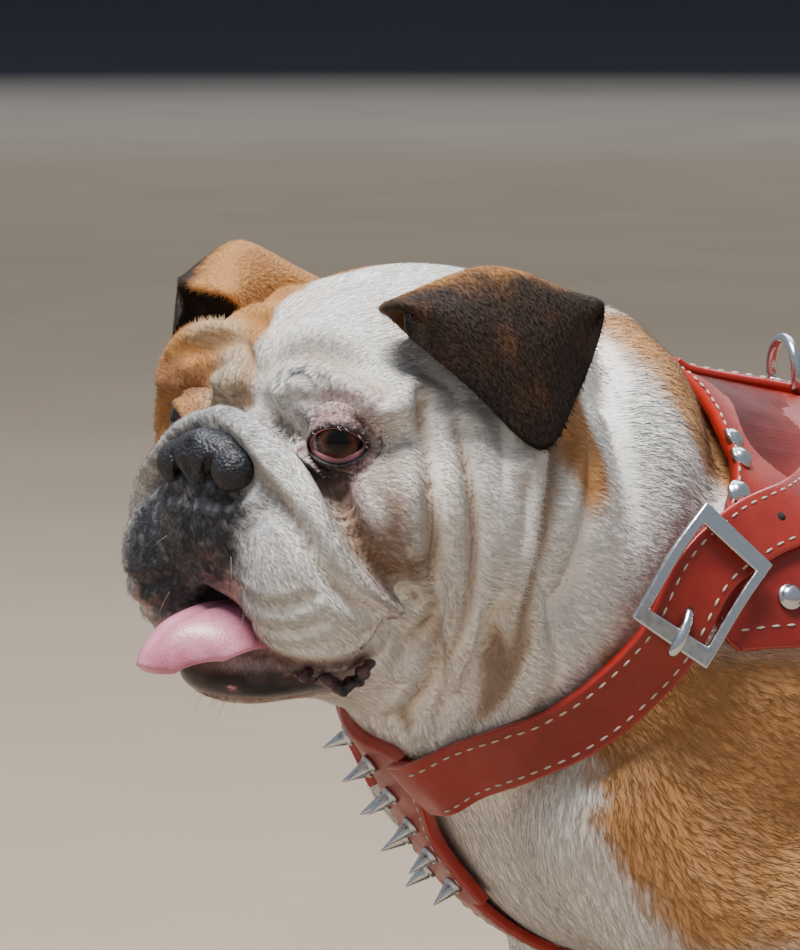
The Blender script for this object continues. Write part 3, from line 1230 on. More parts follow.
# %% [markdown]
# The nose leather is one firm pad with two wings round comma-shaped nostrils. It is made as the
# skin is, from two kinds of masses, with the nostrils cut as bent tubes. Its pebbles are cells
# of 1.35 mm, a little coarser than real ones, so that they show.

# %% Nose
NOSE = {
    "pad": mass([82, 0, 1], [13, 20, 11], 1),
    "wing": mass([85, 17.5, -3], [8.5, 8.5, 9], 2.5, PAIR),
    "column": roll([[87, 0, 5], [88, 0, -4], [86.5, 0, -11], [82, 0, -18]], [6.8, 5.2, 4.8, 4.2], 2.2),
}
NOSTRILS = {
    "comma": roll([[93, 14.5, 5], [92.5, 9.8, -1.5], [91, 9, -7.5], [90, 13.5, -11.5], [86, 20, -11.5],
                   [80.5, 25.5, -7.5]],
                  [1.0, 2.1, 3.1, 2.2, 1.7, 1.2], 1, PAIR),
    "hole": roll([[95, 9.2, -6.5], [84, 10, -6.5]], [3.3, 2.6], 2, PAIR),
}
NOSE_VOXEL = 0.85 * MM
NOSE_GROOVE = [[94.5, 0, 7], [95, 0, -20]]
NOSE_GROOVE_DEEP = 3.2
NOSE_GROOVE_WIDE = 1.6
PEBBLE = 1.35 * MM

def nose_leather():
    """Moist pebbled leather, blue-black, lighter where the pebbles catch the sky"""
    m, tree, shader = material("pebbled_nose_leather")
    place = add(tree, "ShaderNodeTexCoord").outputs["Object"]
    cells = {"Vector": place, "Scale": 1 / PEBBLE, "Randomness": 0.9}
    cells = add(tree, "ShaderNodeTexVoronoi", cells, feature="SMOOTH_F1").outputs["Distance"]
    wear = add(tree, "ShaderNodeTexNoise", {"Vector": place, "Scale": 1 / (9 * MM), "Detail": 4})
    tint = add(tree, "ShaderNodeMix", {"Factor": wear.outputs["Fac"]}, data_type="RGBA")
    for key, colour in (("A", "#0F1013"), ("B", "#2B2D33")):
        [s for s in tint.inputs if s.name == key and s.type == "RGBA"][0].default_value = (*linear(colour), 1)
    tint = [s for s in tint.outputs if s.type == "RGBA"][0]
    domes = add(tree, "ShaderNodeMath", {0: 1.0, 1: cells}, operation="SUBTRACT").outputs[0]
    raised = add(tree, "ShaderNodeBump", {"Height": domes, "Strength": 1.0, "Distance": 0.7 * MM})
    feed(shader, {"Base Color": tint, "Roughness": 0.5, "Specular IOR Level": 0.42,
                  "Normal": raised.outputs["Normal"]})
    return m

nose = joined_copies("nose", ball_mesh(4), lump_places(NOSE, HEAD_MATRIX))
remesh(nose, NOSE_VOXEL)
tubes = joined_copies("tubes", ball_mesh(2), lump_places(NOSTRILS, HEAD_MATRIX))
remesh(tubes, NOSE_VOXEL)
cut_away(nose, tubes)
bpy.data.objects.remove(tubes)
remesh(nose, NOSE_VOXEL)
for _ in range(5):
    p = vertices(nose.data)
    h = to_head(p)
    groove = to_tube(h, np.array(NOSE_GROOVE, float), np.zeros(2)) / NOSE_GROOVE_WIDE
    d = np.maximum(field(h, NOSE) + NOSE_GROOVE_DEEP * np.exp(-groove ** 2), -field(h, NOSTRILS))
    set_vertices(nose.data, p - vertices(nose.data, "normal") * np.clip(d, -1, 1)[:, None] * MM)
    relax(nose, 0.3)
dress(nose, nose_leather())
say("nose", len(nose.data.vertices))

# %% [markdown]
# A panting dog's tongue lies wide and flat over the lower lip with its sides drooping. It has a
# groove down its middle, tiny bumps and a wet shine.

# %% Tongue
TONGUE = [[34, 0, -62], [66, 0, -60], [85, 0, -60], [101, -1, -66], [114, -2, -80]]
TONGUE_HALF_WIDE = [18, 24, 25, 22, 11]
TONGUE_HALF_THICK = 3.2
TONGUE_DROOP = 12
TIP_DROOP = 5
TIP_ROUND = 8
TONGUE_CELLS = 40
TONGUE_GROOVE = 1.7
TONGUE_RIPPLE = 0.5

def tongue_place(x, t, top):
    """Where a spot of the tongue lies: x from -1 to 1 across, t from root to tip, top from -1 to 1"""
    step = 0.01
    spot = smooth_line(TONGUE, t)
    along = unit(smooth_line(TONGUE, np.minimum(t + step, 1)) - smooth_line(TONGUE, np.maximum(t - step, 0)))
    half = smooth_line(np.array(TONGUE_HALF_WIDE, float)[:, None], t)[:, 0]
    up = np.stack([-along[:, 2], 0 * x, along[:, 0]], 1)
    round_edge = np.sqrt(np.maximum(1.04 - x * x, 0.02))
    thick = TONGUE_HALF_THICK * round_edge * np.sqrt(np.clip((1.03 - t) / 0.1, 0.04, 1))
    groove = -TONGUE_GROOVE * np.exp(-(x / 0.13) ** 2) * smoothstep(1.0, 0.8, t) * (top > 0)
    ripple = TONGUE_RIPPLE * np.sin(9 * t + 2 * x) * (1 - x * x)
    droop = (TONGUE_DROOP + (TIP_DROOP - TONGUE_DROOP) * smoothstep(0.75, 1, t)) * x * x
    place = spot + up * (thick * top + groove + ripple - droop)[:, None]
    place -= along * (TIP_ROUND * x * x * np.clip(t - 0.7, 0, 1) * 1.6)[:, None]
    place[:, 1] += x * half
    return place

def tongue_flesh():
    """Wet pink tongue: blotches of pink, tiny buds, light that goes a little way in"""
    m, tree, shader = material("wet_tongue")
    place = add(tree, "ShaderNodeTexCoord").outputs["Object"]
    buds = add(tree, "ShaderNodeTexVoronoi", {"Vector": place, "Scale": 1 / (1.1 * MM)}).outputs["Distance"]
    blush = add(tree, "ShaderNodeTexNoise", {"Vector": place, "Scale": 1 / (12 * MM), "Detail": 3})
    pink = add(tree, "ShaderNodeValToRGB", {"Fac": blush.outputs["Fac"]})
    raised = add(tree, "ShaderNodeBump", {"Height": buds, "Strength": 0.3, "Distance": 0.4 * MM})
    feed(shader, {"Base Color": set_stops(pink, [(0.3, "#B8697F"), (0.7, "#D48CA4")]), "Roughness": 0.38,
                  "Subsurface Weight": 0.15, "Subsurface Radius": (1, 0.35, 0.25), "Subsurface Scale": 3 * MM,
                  "Coat Weight": 0.3, "Coat Roughness": 0.25, "Normal": raised.outputs["Normal"]})
    return m

bm = bmesh.new()
bmesh.ops.create_cube(bm, size=2)
bmesh.ops.subdivide_edges(bm, edges=bm.edges[:], cuts=TONGUE_CELLS, use_grid_fill=True)
grid = np.array([v.co for v in bm.verts])
for v, p in zip(bm.verts, from_head(tongue_place(grid[:, 0], (grid[:, 1] + 1) / 2, grid[:, 2]))):
    v.co = p
bmesh.ops.recalc_face_normals(bm, faces=bm.faces)
tongue = object_from(bm, "tongue")
dress(tongue, tongue_flesh())
say("tongue", len(tongue.data.vertices))

# %% [markdown]
# The harness lies on the coat, so each piece of leather is laid on the same soft surface that
# shaped the body: a spot is dropped onto it, and the leather's section stands on its normal.
# Creases of the flesh are bridged, as stiff leather bridges them.

# %% The surface that leather lies on
TRUNK = {name: BODY[name] for name in ("ribs", "chest", "loin", "belly", "rump", "withers", "shoulder",
                                       "thigh", "upper arm")}
NECK = {name: BODY[name] for name in ("crest", "dewlap", "collar left", "collar right")}
BRIDGE = 45
ROUTE_STEPS = 160

def worn(p):
    """Distance to the surface that leather lies on, at points in the body's millimetres"""
    return soft_min(field(p, TRUNK), field(p, NECK), BRIDGE)

def run_along(line):
    """Length of the line up to each of its points"""
    return np.concatenate([[0], np.cumsum(np.linalg.norm(np.diff(line, axis=0), axis=1))])

def along_line(line, run, s):
    """Places on a line of points at the lengths s"""
    return np.stack([np.interp(s, run, line[:, k]) for k in range(3)], 1)

def out_of(p):
    """The way out of that surface"""
    rise = np.stack([worn(p + step) - worn(p - step) for step in 0.5 * np.eye(3)], 1)
    return rise / (np.linalg.norm(rise, axis=1)[:, None] + 1e-9)

def on_skin(p, steps=8):
    p = np.array(p, float)
    for _ in range(steps):
        p -= out_of(p) * worn(p)[:, None]
    return p

class Route:
    """A smooth line on the skin, read by the share of its length; a spare last point lies past 1"""
    def __init__(self, points, spare=0):
        self.fine = smooth_line(on_skin(points), np.linspace(0, 1, ROUTE_STEPS))
        self.run = run_along(self.fine)
        self.length = self.run[round((ROUTE_STEPS - 1) * (1 - spare / (len(points) - 1)))]
        self.end = self.run[-1] / self.length

    def middle(self, t):
        return along_line(self.fine, self.run, np.clip(t, 0, self.end) * self.length)

    def at(self, t, aside):
        spot = self.middle(t)
        along = unit(self.middle(t + 0.01) - self.middle(t - 0.01))
        return spot + unit(np.cross(along, out_of(spot))) * aside[:, None]

LEATHER = 4.0
STRAP = 3.5
HELD = LEATHER + 0.3

# %% [markdown]
# Leather is cut with square edges, which are then rounded, polished and painted. The section
# of each piece is a thin box with two rounded upper corners. Its edge faces carry the paint.

# %% Sheets of leather
PRESSED = 8
ROUNDED = [(0.0, -0.3), (0.0, 0.76), (0.25, 0.9), (0.8, 0.98), (1.4, 1.0)]

def sheet(name, spot, width, across, along, thick, lift=lambda t: 0 * t):
    """Leather whose middle face is spot(x, t), with x and t from 0 to 1; width is in mm at each t"""
    inset = np.array([i for i, _ in ROUNDED])
    rise = np.array([z for _, z in ROUNDED])
    x_in = np.linspace(0, 1, across + 1)[1:-1]
    x = np.concatenate([0 * inset, x_in, 0 * inset + 1])
    shift = np.concatenate([inset, 0 * x_in, -inset[::-1]])
    z = np.concatenate([rise, 0 * x_in + 1, rise[::-1]])
    n = len(x)
    t_in = np.linspace(0, 1, along + 1)
    length = np.linalg.norm(np.diff(spot(np.full(along + 1, 0.5), t_in), axis=0), axis=1).sum()
    stations = [(0.0, -0.3)] + [(i / length, r) for i, r in ROUNDED[1:]] + [(t, 1.0) for t in t_in[1:-1]]
    stations += [(1 - i / length, r) for i, r in ROUNDED[:0:-1]] + [(1.0, -0.3)]
    t = np.repeat([t for t, _ in stations], n)
    top = np.repeat([top for _, top in stations], n)
    rows_x = np.tile(x, len(stations)) + np.tile(shift, len(stations)) / width(t)
    foot = on_skin(spot(rows_x, t), 12)
    height = lift(t) + thick * np.minimum(np.tile(z, len(stations)), top)
    at = from_body(foot + out_of(foot) * height[:, None]).reshape(-1, n, 3)
    flat = slice(len(ROUNDED) + 1, -len(ROUNDED) - 1)
    for _ in range(PRESSED if across > 10 else 0):
        near = at[:-2, 1:-1] + at[2:, 1:-1] + at[1:-1, :-2] + at[1:-1, 2:]
        at[1:-1, 1:-1][flat, flat] = near[flat, flat] / 4
    bm = bmesh.new()
    rows = [[bm.verts.new(q) for q in ring] for ring in at]
    edge = len(ROUNDED) - 2
    for r, (low, high) in enumerate(zip(rows[:-1], rows[1:])):
        for k in range(n):
            after = (k + 1) % n
            face = bm.faces.new([low[k], low[after], high[after], high[k]])
            side_edge = k < edge or k >= n - 1 - edge
            face.material_index = int((side_edge or r < edge or r >= len(rows) - 1 - edge) and k != n - 1)
            face.smooth = True
    bm.faces.new(rows[0][::-1]).material_index = 1
    bm.faces.new(rows[-1]).material_index = 1
    bmesh.ops.recalc_face_normals(bm, faces=bm.faces)
    piece = object_from(bm, name)
    for face_material in (leather_red, edge_paint):
        piece.data.materials.append(face_material)
    return piece

def tanned_leather():
    """Red bridle leather: dyed through, waxed, with a fine grain and scuffs that dull its shine"""
    m, tree, shader = material("red_bridle_leather")
    place = add(tree, "ShaderNodeTexCoord").outputs["Object"]
    dye = {"Vector": place, "Scale": 1 / (45 * MM), "Detail": 5, "Roughness": 0.65}
    dye = add(tree, "ShaderNodeTexNoise", dye).outputs["Fac"]
    red = set_stops(add(tree, "ShaderNodeValToRGB", {"Fac": dye}), [(0.3, "#741A13"), (0.72, "#9A2B1F")])
    scuff = add(tree, "ShaderNodeTexNoise", {"Vector": place, "Scale": 1 / (14 * MM), "Detail": 6})
    dull = {"Value": scuff.outputs["Fac"], "From Min": 0.35, "From Max": 0.7, "To Min": 0.34, "To Max": 0.56}
    dull = add(tree, "ShaderNodeMapRange", dull).outputs["Result"]
    grain = add(tree, "ShaderNodeTexVoronoi", {"Vector": place, "Scale": 1 / (0.9 * MM)}).outputs["Distance"]
    raised = add(tree, "ShaderNodeBump", {"Height": grain, "Strength": 0.22, "Distance": 0.3 * MM})
    feed(shader, {"Base Color": red, "Roughness": dull, "Specular IOR Level": 0.45,
                  "Normal": raised.outputs["Normal"]})
    return m

def plain(name, colour, roughness, finish=()):
    """A material of one colour and finish"""
    m, _, shader = material(name)
    feed(shader, {"Base Color": (*linear(colour), 1), "Roughness": roughness, **dict(finish)})
    return m

def nickel_plate():
    """Nickel plate: bright and cool, with faint wear that blurs what it mirrors"""
    m, tree, shader = material("polished_nickel_plate")
    place = add(tree, "ShaderNodeTexCoord").outputs["Object"]
    wear = add(tree, "ShaderNodeTexNoise", {"Vector": place, "Scale": 1 / (3 * MM), "Detail": 6})
    blur = {"Value": wear.outputs["Fac"], "From Min": 0.3, "From Max": 0.75, "To Min": 0.14, "To Max": 0.34}
    blur = add(tree, "ShaderNodeMapRange", blur).outputs["Result"]
    feed(shader, {"Base Color": (*linear("#C3C6CA"), 1), "Metallic": 1.0, "Roughness": blur})
    return m

leather_red = tanned_leather()
edge_paint = plain("painted_leather_edge", "#A3221A", 0.28, {"Coat Weight": 0.4, "Coat Roughness": 0.15})
thread_white = plain("waxed_thread", "#B9AFA0", 0.7)
nickel = nickel_plate()
hole_dark = plain("punched_hole", "#1A0E0B", 0.9)
# %% [markdown]
# The saddle wraps the ribs. Straps, girth and breast strap are strips along routes over the
# skin. Each sheet is listed with its middle face, width, cells across and along, thickness and
# how far it is lifted where it lies on another sheet.

# %% Harness shapes
SADDLE_MIDDLE_Z = 270
SADDLE_REACH = 130
SADDLE_HALF_ANGLE = math.radians(76)

def saddle_spot(along, around):
    w = np.abs(around)
    front = -140 - 40 * w ** 1.5 + 32 * w ** 8
    rear = 10 - 105 * w ** 2.2 - 24 * w ** 8
    x = front + (rear - front) * along
    angle = around * SADDLE_HALF_ANGLE
    return np.stack([x, SADDLE_REACH * np.sin(angle), SADDLE_MIDDLE_Z + SADDLE_REACH * np.cos(angle)], 1)

def saddle_width(t):
    w = np.abs(2 * t - 1)
    return 150 - 65 * w ** 2 - 56 * w ** 8

SPINE = Route([[-134, 0, 385], [-100, 0, 385], [-60, 0, 380], [-14, 0, 375]])
SPINE_WIDE = 22
STRAP_POINTS = [[-46, 30, 382], [-80, 80, 370], [-113, 112, 354], [-143, 121, 345], [-167, 119, 332],
                [-190, 108, 312], [-212, 100, 290], [-232, 80, 268], [-246, 50, 250]]
STRAP_WIDE = 26
STRAP_START = 0.06
BUCKLE_AT = 0.52
PLATE = Route([[-252, -14, 268], [-244, -8, 244], [-232, -2, 216], [-212, 0, 190]])
BREAST = Route([[-212, 0, 190], [-180, 0, 166], [-140, 0, 152], [-90, 0, 148], [-30, 0, 150]])
BREAST_WIDE = 30
GIRTH_X = -34
GIRTH_WIDE = 28
GIRTH_FROM = math.radians(34)
CHEST_RADIUS = 115
CHEST_MIDDLE_Z = 262
turn = np.linspace(GIRTH_FROM, 2 * math.pi - GIRTH_FROM, 17)
across, high = CHEST_RADIUS * np.sin(turn), CHEST_MIDDLE_Z + CHEST_RADIUS * np.cos(turn)
GIRTH = Route(np.stack([0 * turn + GIRTH_X, across, high], 1))
FAR_STRAP_END = [-253, 14, 243]

def flat(t):
    return 0 * t

def held(t):
    return HELD + 0 * t

def girth_lift(t):
    return HELD * (1 - smoothstep(0.1, 0.15, t) + smoothstep(0.85, 0.9, t))

def ribbon(route, wide):
    """The face and width of an even strip along a route"""
    return (lambda x, t: route.at(t, (x - 0.5) * wide)), (lambda t: wide)

def plate_width(t):
    return 92 - 44 * smoothstep(0, 0.7, t)

def plate_spot(x, t):
    return PLATE.at(t, (2 * x - 1) * plate_width(t) / 2)

def saddle_sheet_spot(x, t):
    return saddle_spot(x, 2 * t - 1)

def strap(side):
    """A side strap's route and sheet; the right one is longer, because the plate lies to the left"""
    points = [[x, side * y, z] for x, y, z in STRAP_POINTS] + [FAR_STRAP_END] * (side > 0)
    route = Route(points, spare=int(side > 0))
    place = lambda t: STRAP_START + (route.end - STRAP_START) * t
    spot = lambda x, t: route.at(place(t), (x - 0.5) * STRAP_WIDE)
    on_saddle = lambda t: 1 - smoothstep(0.55, 0.64, place(t))
    on_plate = lambda t: smoothstep(route.end - 0.1, route.end - 0.04, place(t))
    lift = lambda t: HELD * (on_saddle(t) + on_plate(t))
    return route, (spot, lambda t: STRAP_WIDE, 6, 110, STRAP, lift)

ROUTES = {}
SHEETS = {
    "saddle": (saddle_sheet_spot, saddle_width, 36, 110, LEATHER, flat),
    "breast_plate": (plate_spot, plate_width, 14, 40, LEATHER, flat),
    "breast_strap": (*ribbon(BREAST, BREAST_WIDE), 6, 60, STRAP, flat),
    "girth": (*ribbon(GIRTH, GIRTH_WIDE), 6, 120, STRAP, girth_lift),
    "spine_strip": (*ribbon(SPINE, SPINE_WIDE), 5, 40, STRAP, held),
}
ROUTES["left"], SHEETS["strap_left"] = strap(-1)
ROUTES["right"], SHEETS["strap_right"] = strap(1)
leathers = {name: sheet(name, *form) for name, form in SHEETS.items()}
say("leather", {n: len(p.data.vertices) for n, p in leathers.items()})

# %% [markdown]
# The leather is sewn along its edges with thick waxed thread. Each stitch is a small rounded
# bar. They are counted out along a line just inside the edge and joined in one mesh.

# %% Stitches
STITCH_LONG = 4.4
STITCH_STEP = 6.4
STITCH_THICK = 0.55
STITCH_INSET = 3.6
STITCH_PROUD = 0.05
SADDLE_ENDS = [("end", 0.022), ("end", 0.978)]

def standing(spots, height):
    """Places at a height over the skin, and the way out there"""
    foot = on_skin(spots, 12)
    out = out_of(foot)
    return foot + out * np.reshape(height, (-1, 1)), out

def sewn(spot, width, thick, lift, edges, span=(0.02, 0.98)):
    """Matrices of stitches along lines of a sheet; an edge is 0 or 1 across, or a fixed t as ('end', t)"""
    places = []
    for edge in edges:
        t = x = span[0] + (span[1] - span[0]) * np.linspace(0, 1, 400)
        if isinstance(edge, tuple):
            t = np.full(400, edge[1])
        else:
            x = edge + (1 - 2 * edge) * STITCH_INSET / (width(t) + 0 * t)
        line, out = standing(spot(x, t), lift(t) + thick + STITCH_PROUD)
        run = run_along(line)
        stops = np.arange(STITCH_STEP, run[-1] - STITCH_STEP, STITCH_STEP)
        at = along_line(line, run, stops)
        ahead = unit(along_line(line, run, stops + 1) - at)
        for a, f, u in zip(at, ahead, along_line(out, run, stops)):
            s = unit(np.cross(u, f))
            axes = np.stack([f * STITCH_LONG / 2, s * STITCH_THICK, np.cross(f, s) * STITCH_THICK], 1)
            m = Matrix(axes.tolist()).to_4x4()
            m.translation = a
            places.append(BODY_MATRIX @ m)
    return places

places = []
for spot, width, _, _, thick, lift in SHEETS.values():
    places += sewn(spot, width, thick, lift, [0, 1])
places += sewn(saddle_sheet_spot, saddle_width, LEATHER, flat, SADDLE_ENDS, (0.06, 0.94))
stitches = joined_copies("stitches", ball_mesh(1), places)
dress(stitches, thread_white)
say("stitches", len(places))

# %% [markdown]
# Studs and spikes are turned, so each is a profile spun round an axis. Buckles are stamped
# from plate, with bevelled edges, and bent a little to lie on the chest.

# %% Metal
def spun(profile, steps=28):
    """A closed solid from a profile of radius and height, spun round the z axis"""
    bm = bmesh.new()
    line = [bm.verts.new((r, 0, z)) for r, z in profile]
    edges = [bm.edges.new(pair) for pair in zip(line[:-1], line[1:])]
    bmesh.ops.spin(bm, geom=line + edges, cent=(0, 0, 0), axis=(0, 0, 1), angle=2 * math.pi, steps=steps)
    bmesh.ops.remove_doubles(bm, verts=bm.verts, dist=1e-4)
    bmesh.ops.recalc_face_normals(bm, faces=bm.faces)
    bmesh.ops.triangulate(bm, faces=bm.faces)
    return mesh_from(bm, "spun")

metals = {}

def metal_piece(name, template, matrices):
    metals[name] = joined_copies(name, template, matrices)
    dress(metals[name], nickel)

def upright(spots, height):
    """Matrices that stand things on the leather"""
    at, out = standing(spots, height)
    found = []
    for a, u in zip(at, out):
        m = Vector(u).to_track_quat("Z", "Y").to_matrix().to_4x4()
        m.translation = a
        found.append(BODY_MATRIX @ m)
    return found

DOME = [(0, -1), (5.2, -1), (5.3, 0.5), (5.1, 0.9), (4.6, 1.1), (4.1, 2.1), (3.2, 2.95), (1.8, 3.5), (0, 3.7)]
SPIKE = [(0, -1), (4.1, -1), (4.2, 0.6), (3.9, 1.3), (3.1, 1.6), (3.3, 2.4), (1.9, 6.9), (0.7, 10.9),
         (0.35, 11.9), (0, 12.2)]
STUD_SPOTS = [(0.085, 0.5), (0.09, 0.6), (0.09, 0.69), (0.09, 0.78), (0.4, 0.9), (0.62, 0.86), (0.78, 0.76)]
SPIKE_FIRST, SPIKE_STEP, SPIKE_ASIDE = 0.12, 0.19, 14.0
dome, point = spun(DOME), spun(SPIKE)
for side, name in ((-1, "left"), (1, "right")):
    for k, (along, around) in enumerate(STUD_SPOTS):
        spot = saddle_spot(np.array([along]), np.array([around * side]))
        metal_piece(f"stud_{name}_{k + 1}", dome, upright(spot, LEATHER))
for k in range(10):
    t, aside = SPIKE_FIRST + SPIKE_STEP * (k // 2), SPIKE_ASIDE if k % 2 else -SPIKE_ASIDE
    spot = PLATE.at(np.array([t]), np.array([aside]))
    metal_piece(f"spike_{k + 1}", point, upright(spot, LEATHER))

BUCKLE_LONG, BUCKLE_WIDE, BUCKLE_THICK = 51, 38, 3
SIDE_BAR, END_BAR = 4.4, 7
BUCKLE_SUNK = 0.6
BUCKLE_STIFF = 0.75
BUCKLE_RISE = 0.8

def buckle(name, route):
    """A rectangular frame with its centre cut out and its edges bevelled, laid over the strap"""
    bm = bmesh.new()
    bmesh.ops.create_grid(bm, x_segments=1, y_segments=1, size=0.5)
    for v in bm.verts:
        v.co = (v.co.x * BUCKLE_WIDE, v.co.y * BUCKLE_LONG, 0)
    window = bm.faces[:]
    bmesh.ops.inset_individual(bm, faces=window, thickness=SIDE_BAR, use_even_offset=True)
    for v in window[0].verts:
        v.co.y *= (BUCKLE_LONG / 2 - END_BAR) / (BUCKLE_LONG / 2 - SIDE_BAR)
    bmesh.ops.delete(bm, geom=window, context="FACES_ONLY")
    bmesh.ops.subdivide_edges(bm, edges=[e for e in bm.edges if e.calc_length() > 10], cuts=11,
                              use_grid_fill=True)
    bmesh.ops.solidify(bm, geom=bm.faces[:], thickness=-BUCKLE_THICK)
    bmesh.ops.recalc_face_normals(bm, faces=bm.faces)
    sharp = [e for e in bm.edges if e.is_manifold and e.calc_face_angle() > 0.7]
    bmesh.ops.bevel(bm, geom=sharp, offset=0.8, affect="EDGES", segments=3, profile=0.5, material=-1)
    p = np.array([v.co for v in bm.verts])
    low = p[:, 2].min()
    spots = route.at(BUCKLE_AT + p[:, 1] / route.length, p[:, 0])
    bent, _ = standing(spots, HELD + STRAP - BUCKLE_SUNK + p[:, 2] - low)
    centre, out = standing(route.at(np.array([BUCKLE_AT]), np.array([0.0])), HELD + STRAP)
    ahead = unit(route.middle(np.array([BUCKLE_AT + 0.05])) - route.middle(np.array([BUCKLE_AT - 0.05])))
    out = unit(out - ahead * (ahead * out).sum())
    across = np.cross(ahead, out)
    rigid = centre + p[:, 1:2] * ahead + p[:, :1] * across + (p[:, 2:] - low + BUCKLE_RISE) * out
    at = bent + BUCKLE_STIFF * (rigid - bent)
    for v, q in zip(bm.verts, from_body(at)):
        v.co = q
    bmesh.ops.recalc_face_normals(bm, faces=bm.faces)
    piece = object_from(bm, name)
    piece.data.materials.append(nickel)
    return piece

def tube(name, line, radii, sides=14, closed=False):
    """A round bar along a line of points, in the body's millimetres"""
    line = np.array(line, float)
    n = len(line)
    ahead = np.roll(line, -1, 0) - np.roll(line, 1, 0) if closed else np.gradient(line, axis=0)
    ahead = unit(ahead)
    across = unit(np.cross(ahead, TILTED))
    up = np.cross(across, ahead)
    turn = np.linspace(0, 2 * math.pi, sides, endpoint=False)
    bm = bmesh.new()
    rings = []
    for k in range(n):
        ring = line[k] + radii[k] * (np.cos(turn)[:, None] * across[k] + np.sin(turn)[:, None] * up[k])
        rings.append([bm.verts.new(q) for q in from_body(ring)])
    pairs = list(zip(rings, rings[1:] + rings[:1])) if closed else list(zip(rings[:-1], rings[1:]))
    for low, high in pairs:
        for k in range(sides):
            after = (k + 1) % sides
            bm.faces.new([low[k], low[after], high[after], high[k]]).smooth = True
    if not closed:
        bm.faces.new(rings[0])
        bm.faces.new(rings[-1])
    bmesh.ops.recalc_face_normals(bm, faces=bm.faces)
    piece = object_from(bm, name)
    piece.data.materials.append(nickel)
    return piece

PRONG_ALONG = np.array([9, 11, 14, 17, 20, 23, 25.5, 27])
PRONG_HEIGHT = np.array([-0.5, 0.6, 2.3, 3.4, 4.3, 4.6, 4.4, 4.2])
PRONG_RADII = [1.5, 1.9, 2.2, 2.4, 2.6, 2.6, 2.3, 1.2]
for name, route in ROUTES.items():
    metals[f"buckle_{name}"] = buckle(f"buckle_{name}", route)
    spots = route.at(BUCKLE_AT + PRONG_ALONG / route.length, 0 * PRONG_ALONG)
    line, _ = standing(spots, HELD + STRAP + PRONG_HEIGHT)
    metals[f"prong_{name}"] = tube(f"prong_{name}", line, PRONG_RADII)

# %% Ring and punched holes
RING_WIDE, RING_HIGH, RING_WIRE = 30, 24, 4.5
RING_SUNK = 0.3
foot = on_skin([[RING_X, 0, 385]])[0] + [0, 0, LEATHER - RING_SUNK]
half = (RING_WIDE - RING_WIRE) / 2
arc = np.linspace(0, math.pi, 25)
outline = [(half * math.cos(a), RING_HIGH - RING_WIDE / 2 + half * math.sin(a)) for a in arc]
outline += [(-half, z) for z in (6, 4.2)] + [(-half + 2, RING_WIRE / 2)]
outline += [(half - 2, RING_WIRE / 2)] + [(half, z) for z in (4.2, 6)]
ring_line = [foot + [0, y, z] for y, z in outline]
metals["ring"] = tube("ring", ring_line, [RING_WIRE / 2] * len(ring_line), closed=True)
HOLE_SPOTS = [0.3, 0.38, 0.45]
HOLE_RADIUS = 1.9
HOLE_PROUD = 0.06
holes = []
for name in ROUTES:
    spot, *_, lift = SHEETS[f"strap_{name}"]
    for place in HOLE_SPOTS:
        t = np.array([(place - STRAP_START) / (1 - STRAP_START)])
        holes += upright(spot(np.array([0.5]), t), lift(t) + STRAP - 0.5)
hole_disc = [(0, 0), (HOLE_RADIUS, 0), (HOLE_RADIUS, 0.5 + HOLE_PROUD), (0, 0.5 + HOLE_PROUD)]
hole_marks = joined_copies("strap_holes", spun(hole_disc, 20), holes)
dress(hole_marks, hole_dark)
say("metal", len(metals), "holes", len(holes))

# %% [markdown]
# The lower lip of a bulldog is loose and ends in wet, dark lumps beside the corner of the mouth.
# They are small balls melted together, with the same black and plum as the lip.

# %% Lumps of the lower lip
LIP_LINE = [[68, 37, -80], [61, 41, -83], [54, 44, -87], [49, 47, -85], [46, 52, -78]]
LUMPS = 30
spread = np.linspace(0, 1, LUMPS)
spots = smooth_line(LIP_LINE, spread) + RNG.uniform([-2, -1.5, -2.5], [2, 2, 1.5], (LUMPS, 3))
sizes = RNG.uniform(1.4, 2.6, LUMPS)
LIP_LUMPS = {f"lump {k}": mass(at, [r, r, r], 0.8, PAIR) for k, (at, r) in enumerate(zip(spots, sizes))}
LIP_VOXEL = 0.8 * MM

def wet_lip():
    """Wet black lip with plum showing through on its lumps"""
    m, tree, shader = material("wet_lip_skin")
    place = add(tree, "ShaderNodeTexCoord").outputs["Object"]
    blotch = add(tree, "ShaderNodeTexNoise", {"Vector": place, "Scale": 1 / (6 * MM), "Detail": 4})
    blotch = blotch.outputs["Fac"]
    dark = set_stops(add(tree, "ShaderNodeValToRGB", {"Fac": blotch}), [(0.38, "#1A1519"), (0.66, "#5B3A45")])
    raised = add(tree, "ShaderNodeBump", {"Height": blotch, "Strength": 0.5, "Distance": 1.2 * MM})
    feed(shader, {"Base Color": dark, "Roughness": 0.34, "Specular IOR Level": 0.5,
                  "Normal": raised.outputs["Normal"]})
    return m

lip_lumps = joined_copies("lip_lumps", ball_mesh(3), lump_places(LIP_LUMPS, HEAD_MATRIX))
remesh(lip_lumps, LIP_VOXEL)
dress(lip_lumps, wet_lip())
say("lip lumps", len(lip_lumps.data.vertices))

# %% [markdown]
# Claws are curved horn, worn blunt on hard ground. One claw is a cone bent downwards, and every
# toe gets a copy.

# %% Claws
CLAW_LONG = 11
CLAW_THICK = 3.2
CLAW_DROP = 0.6

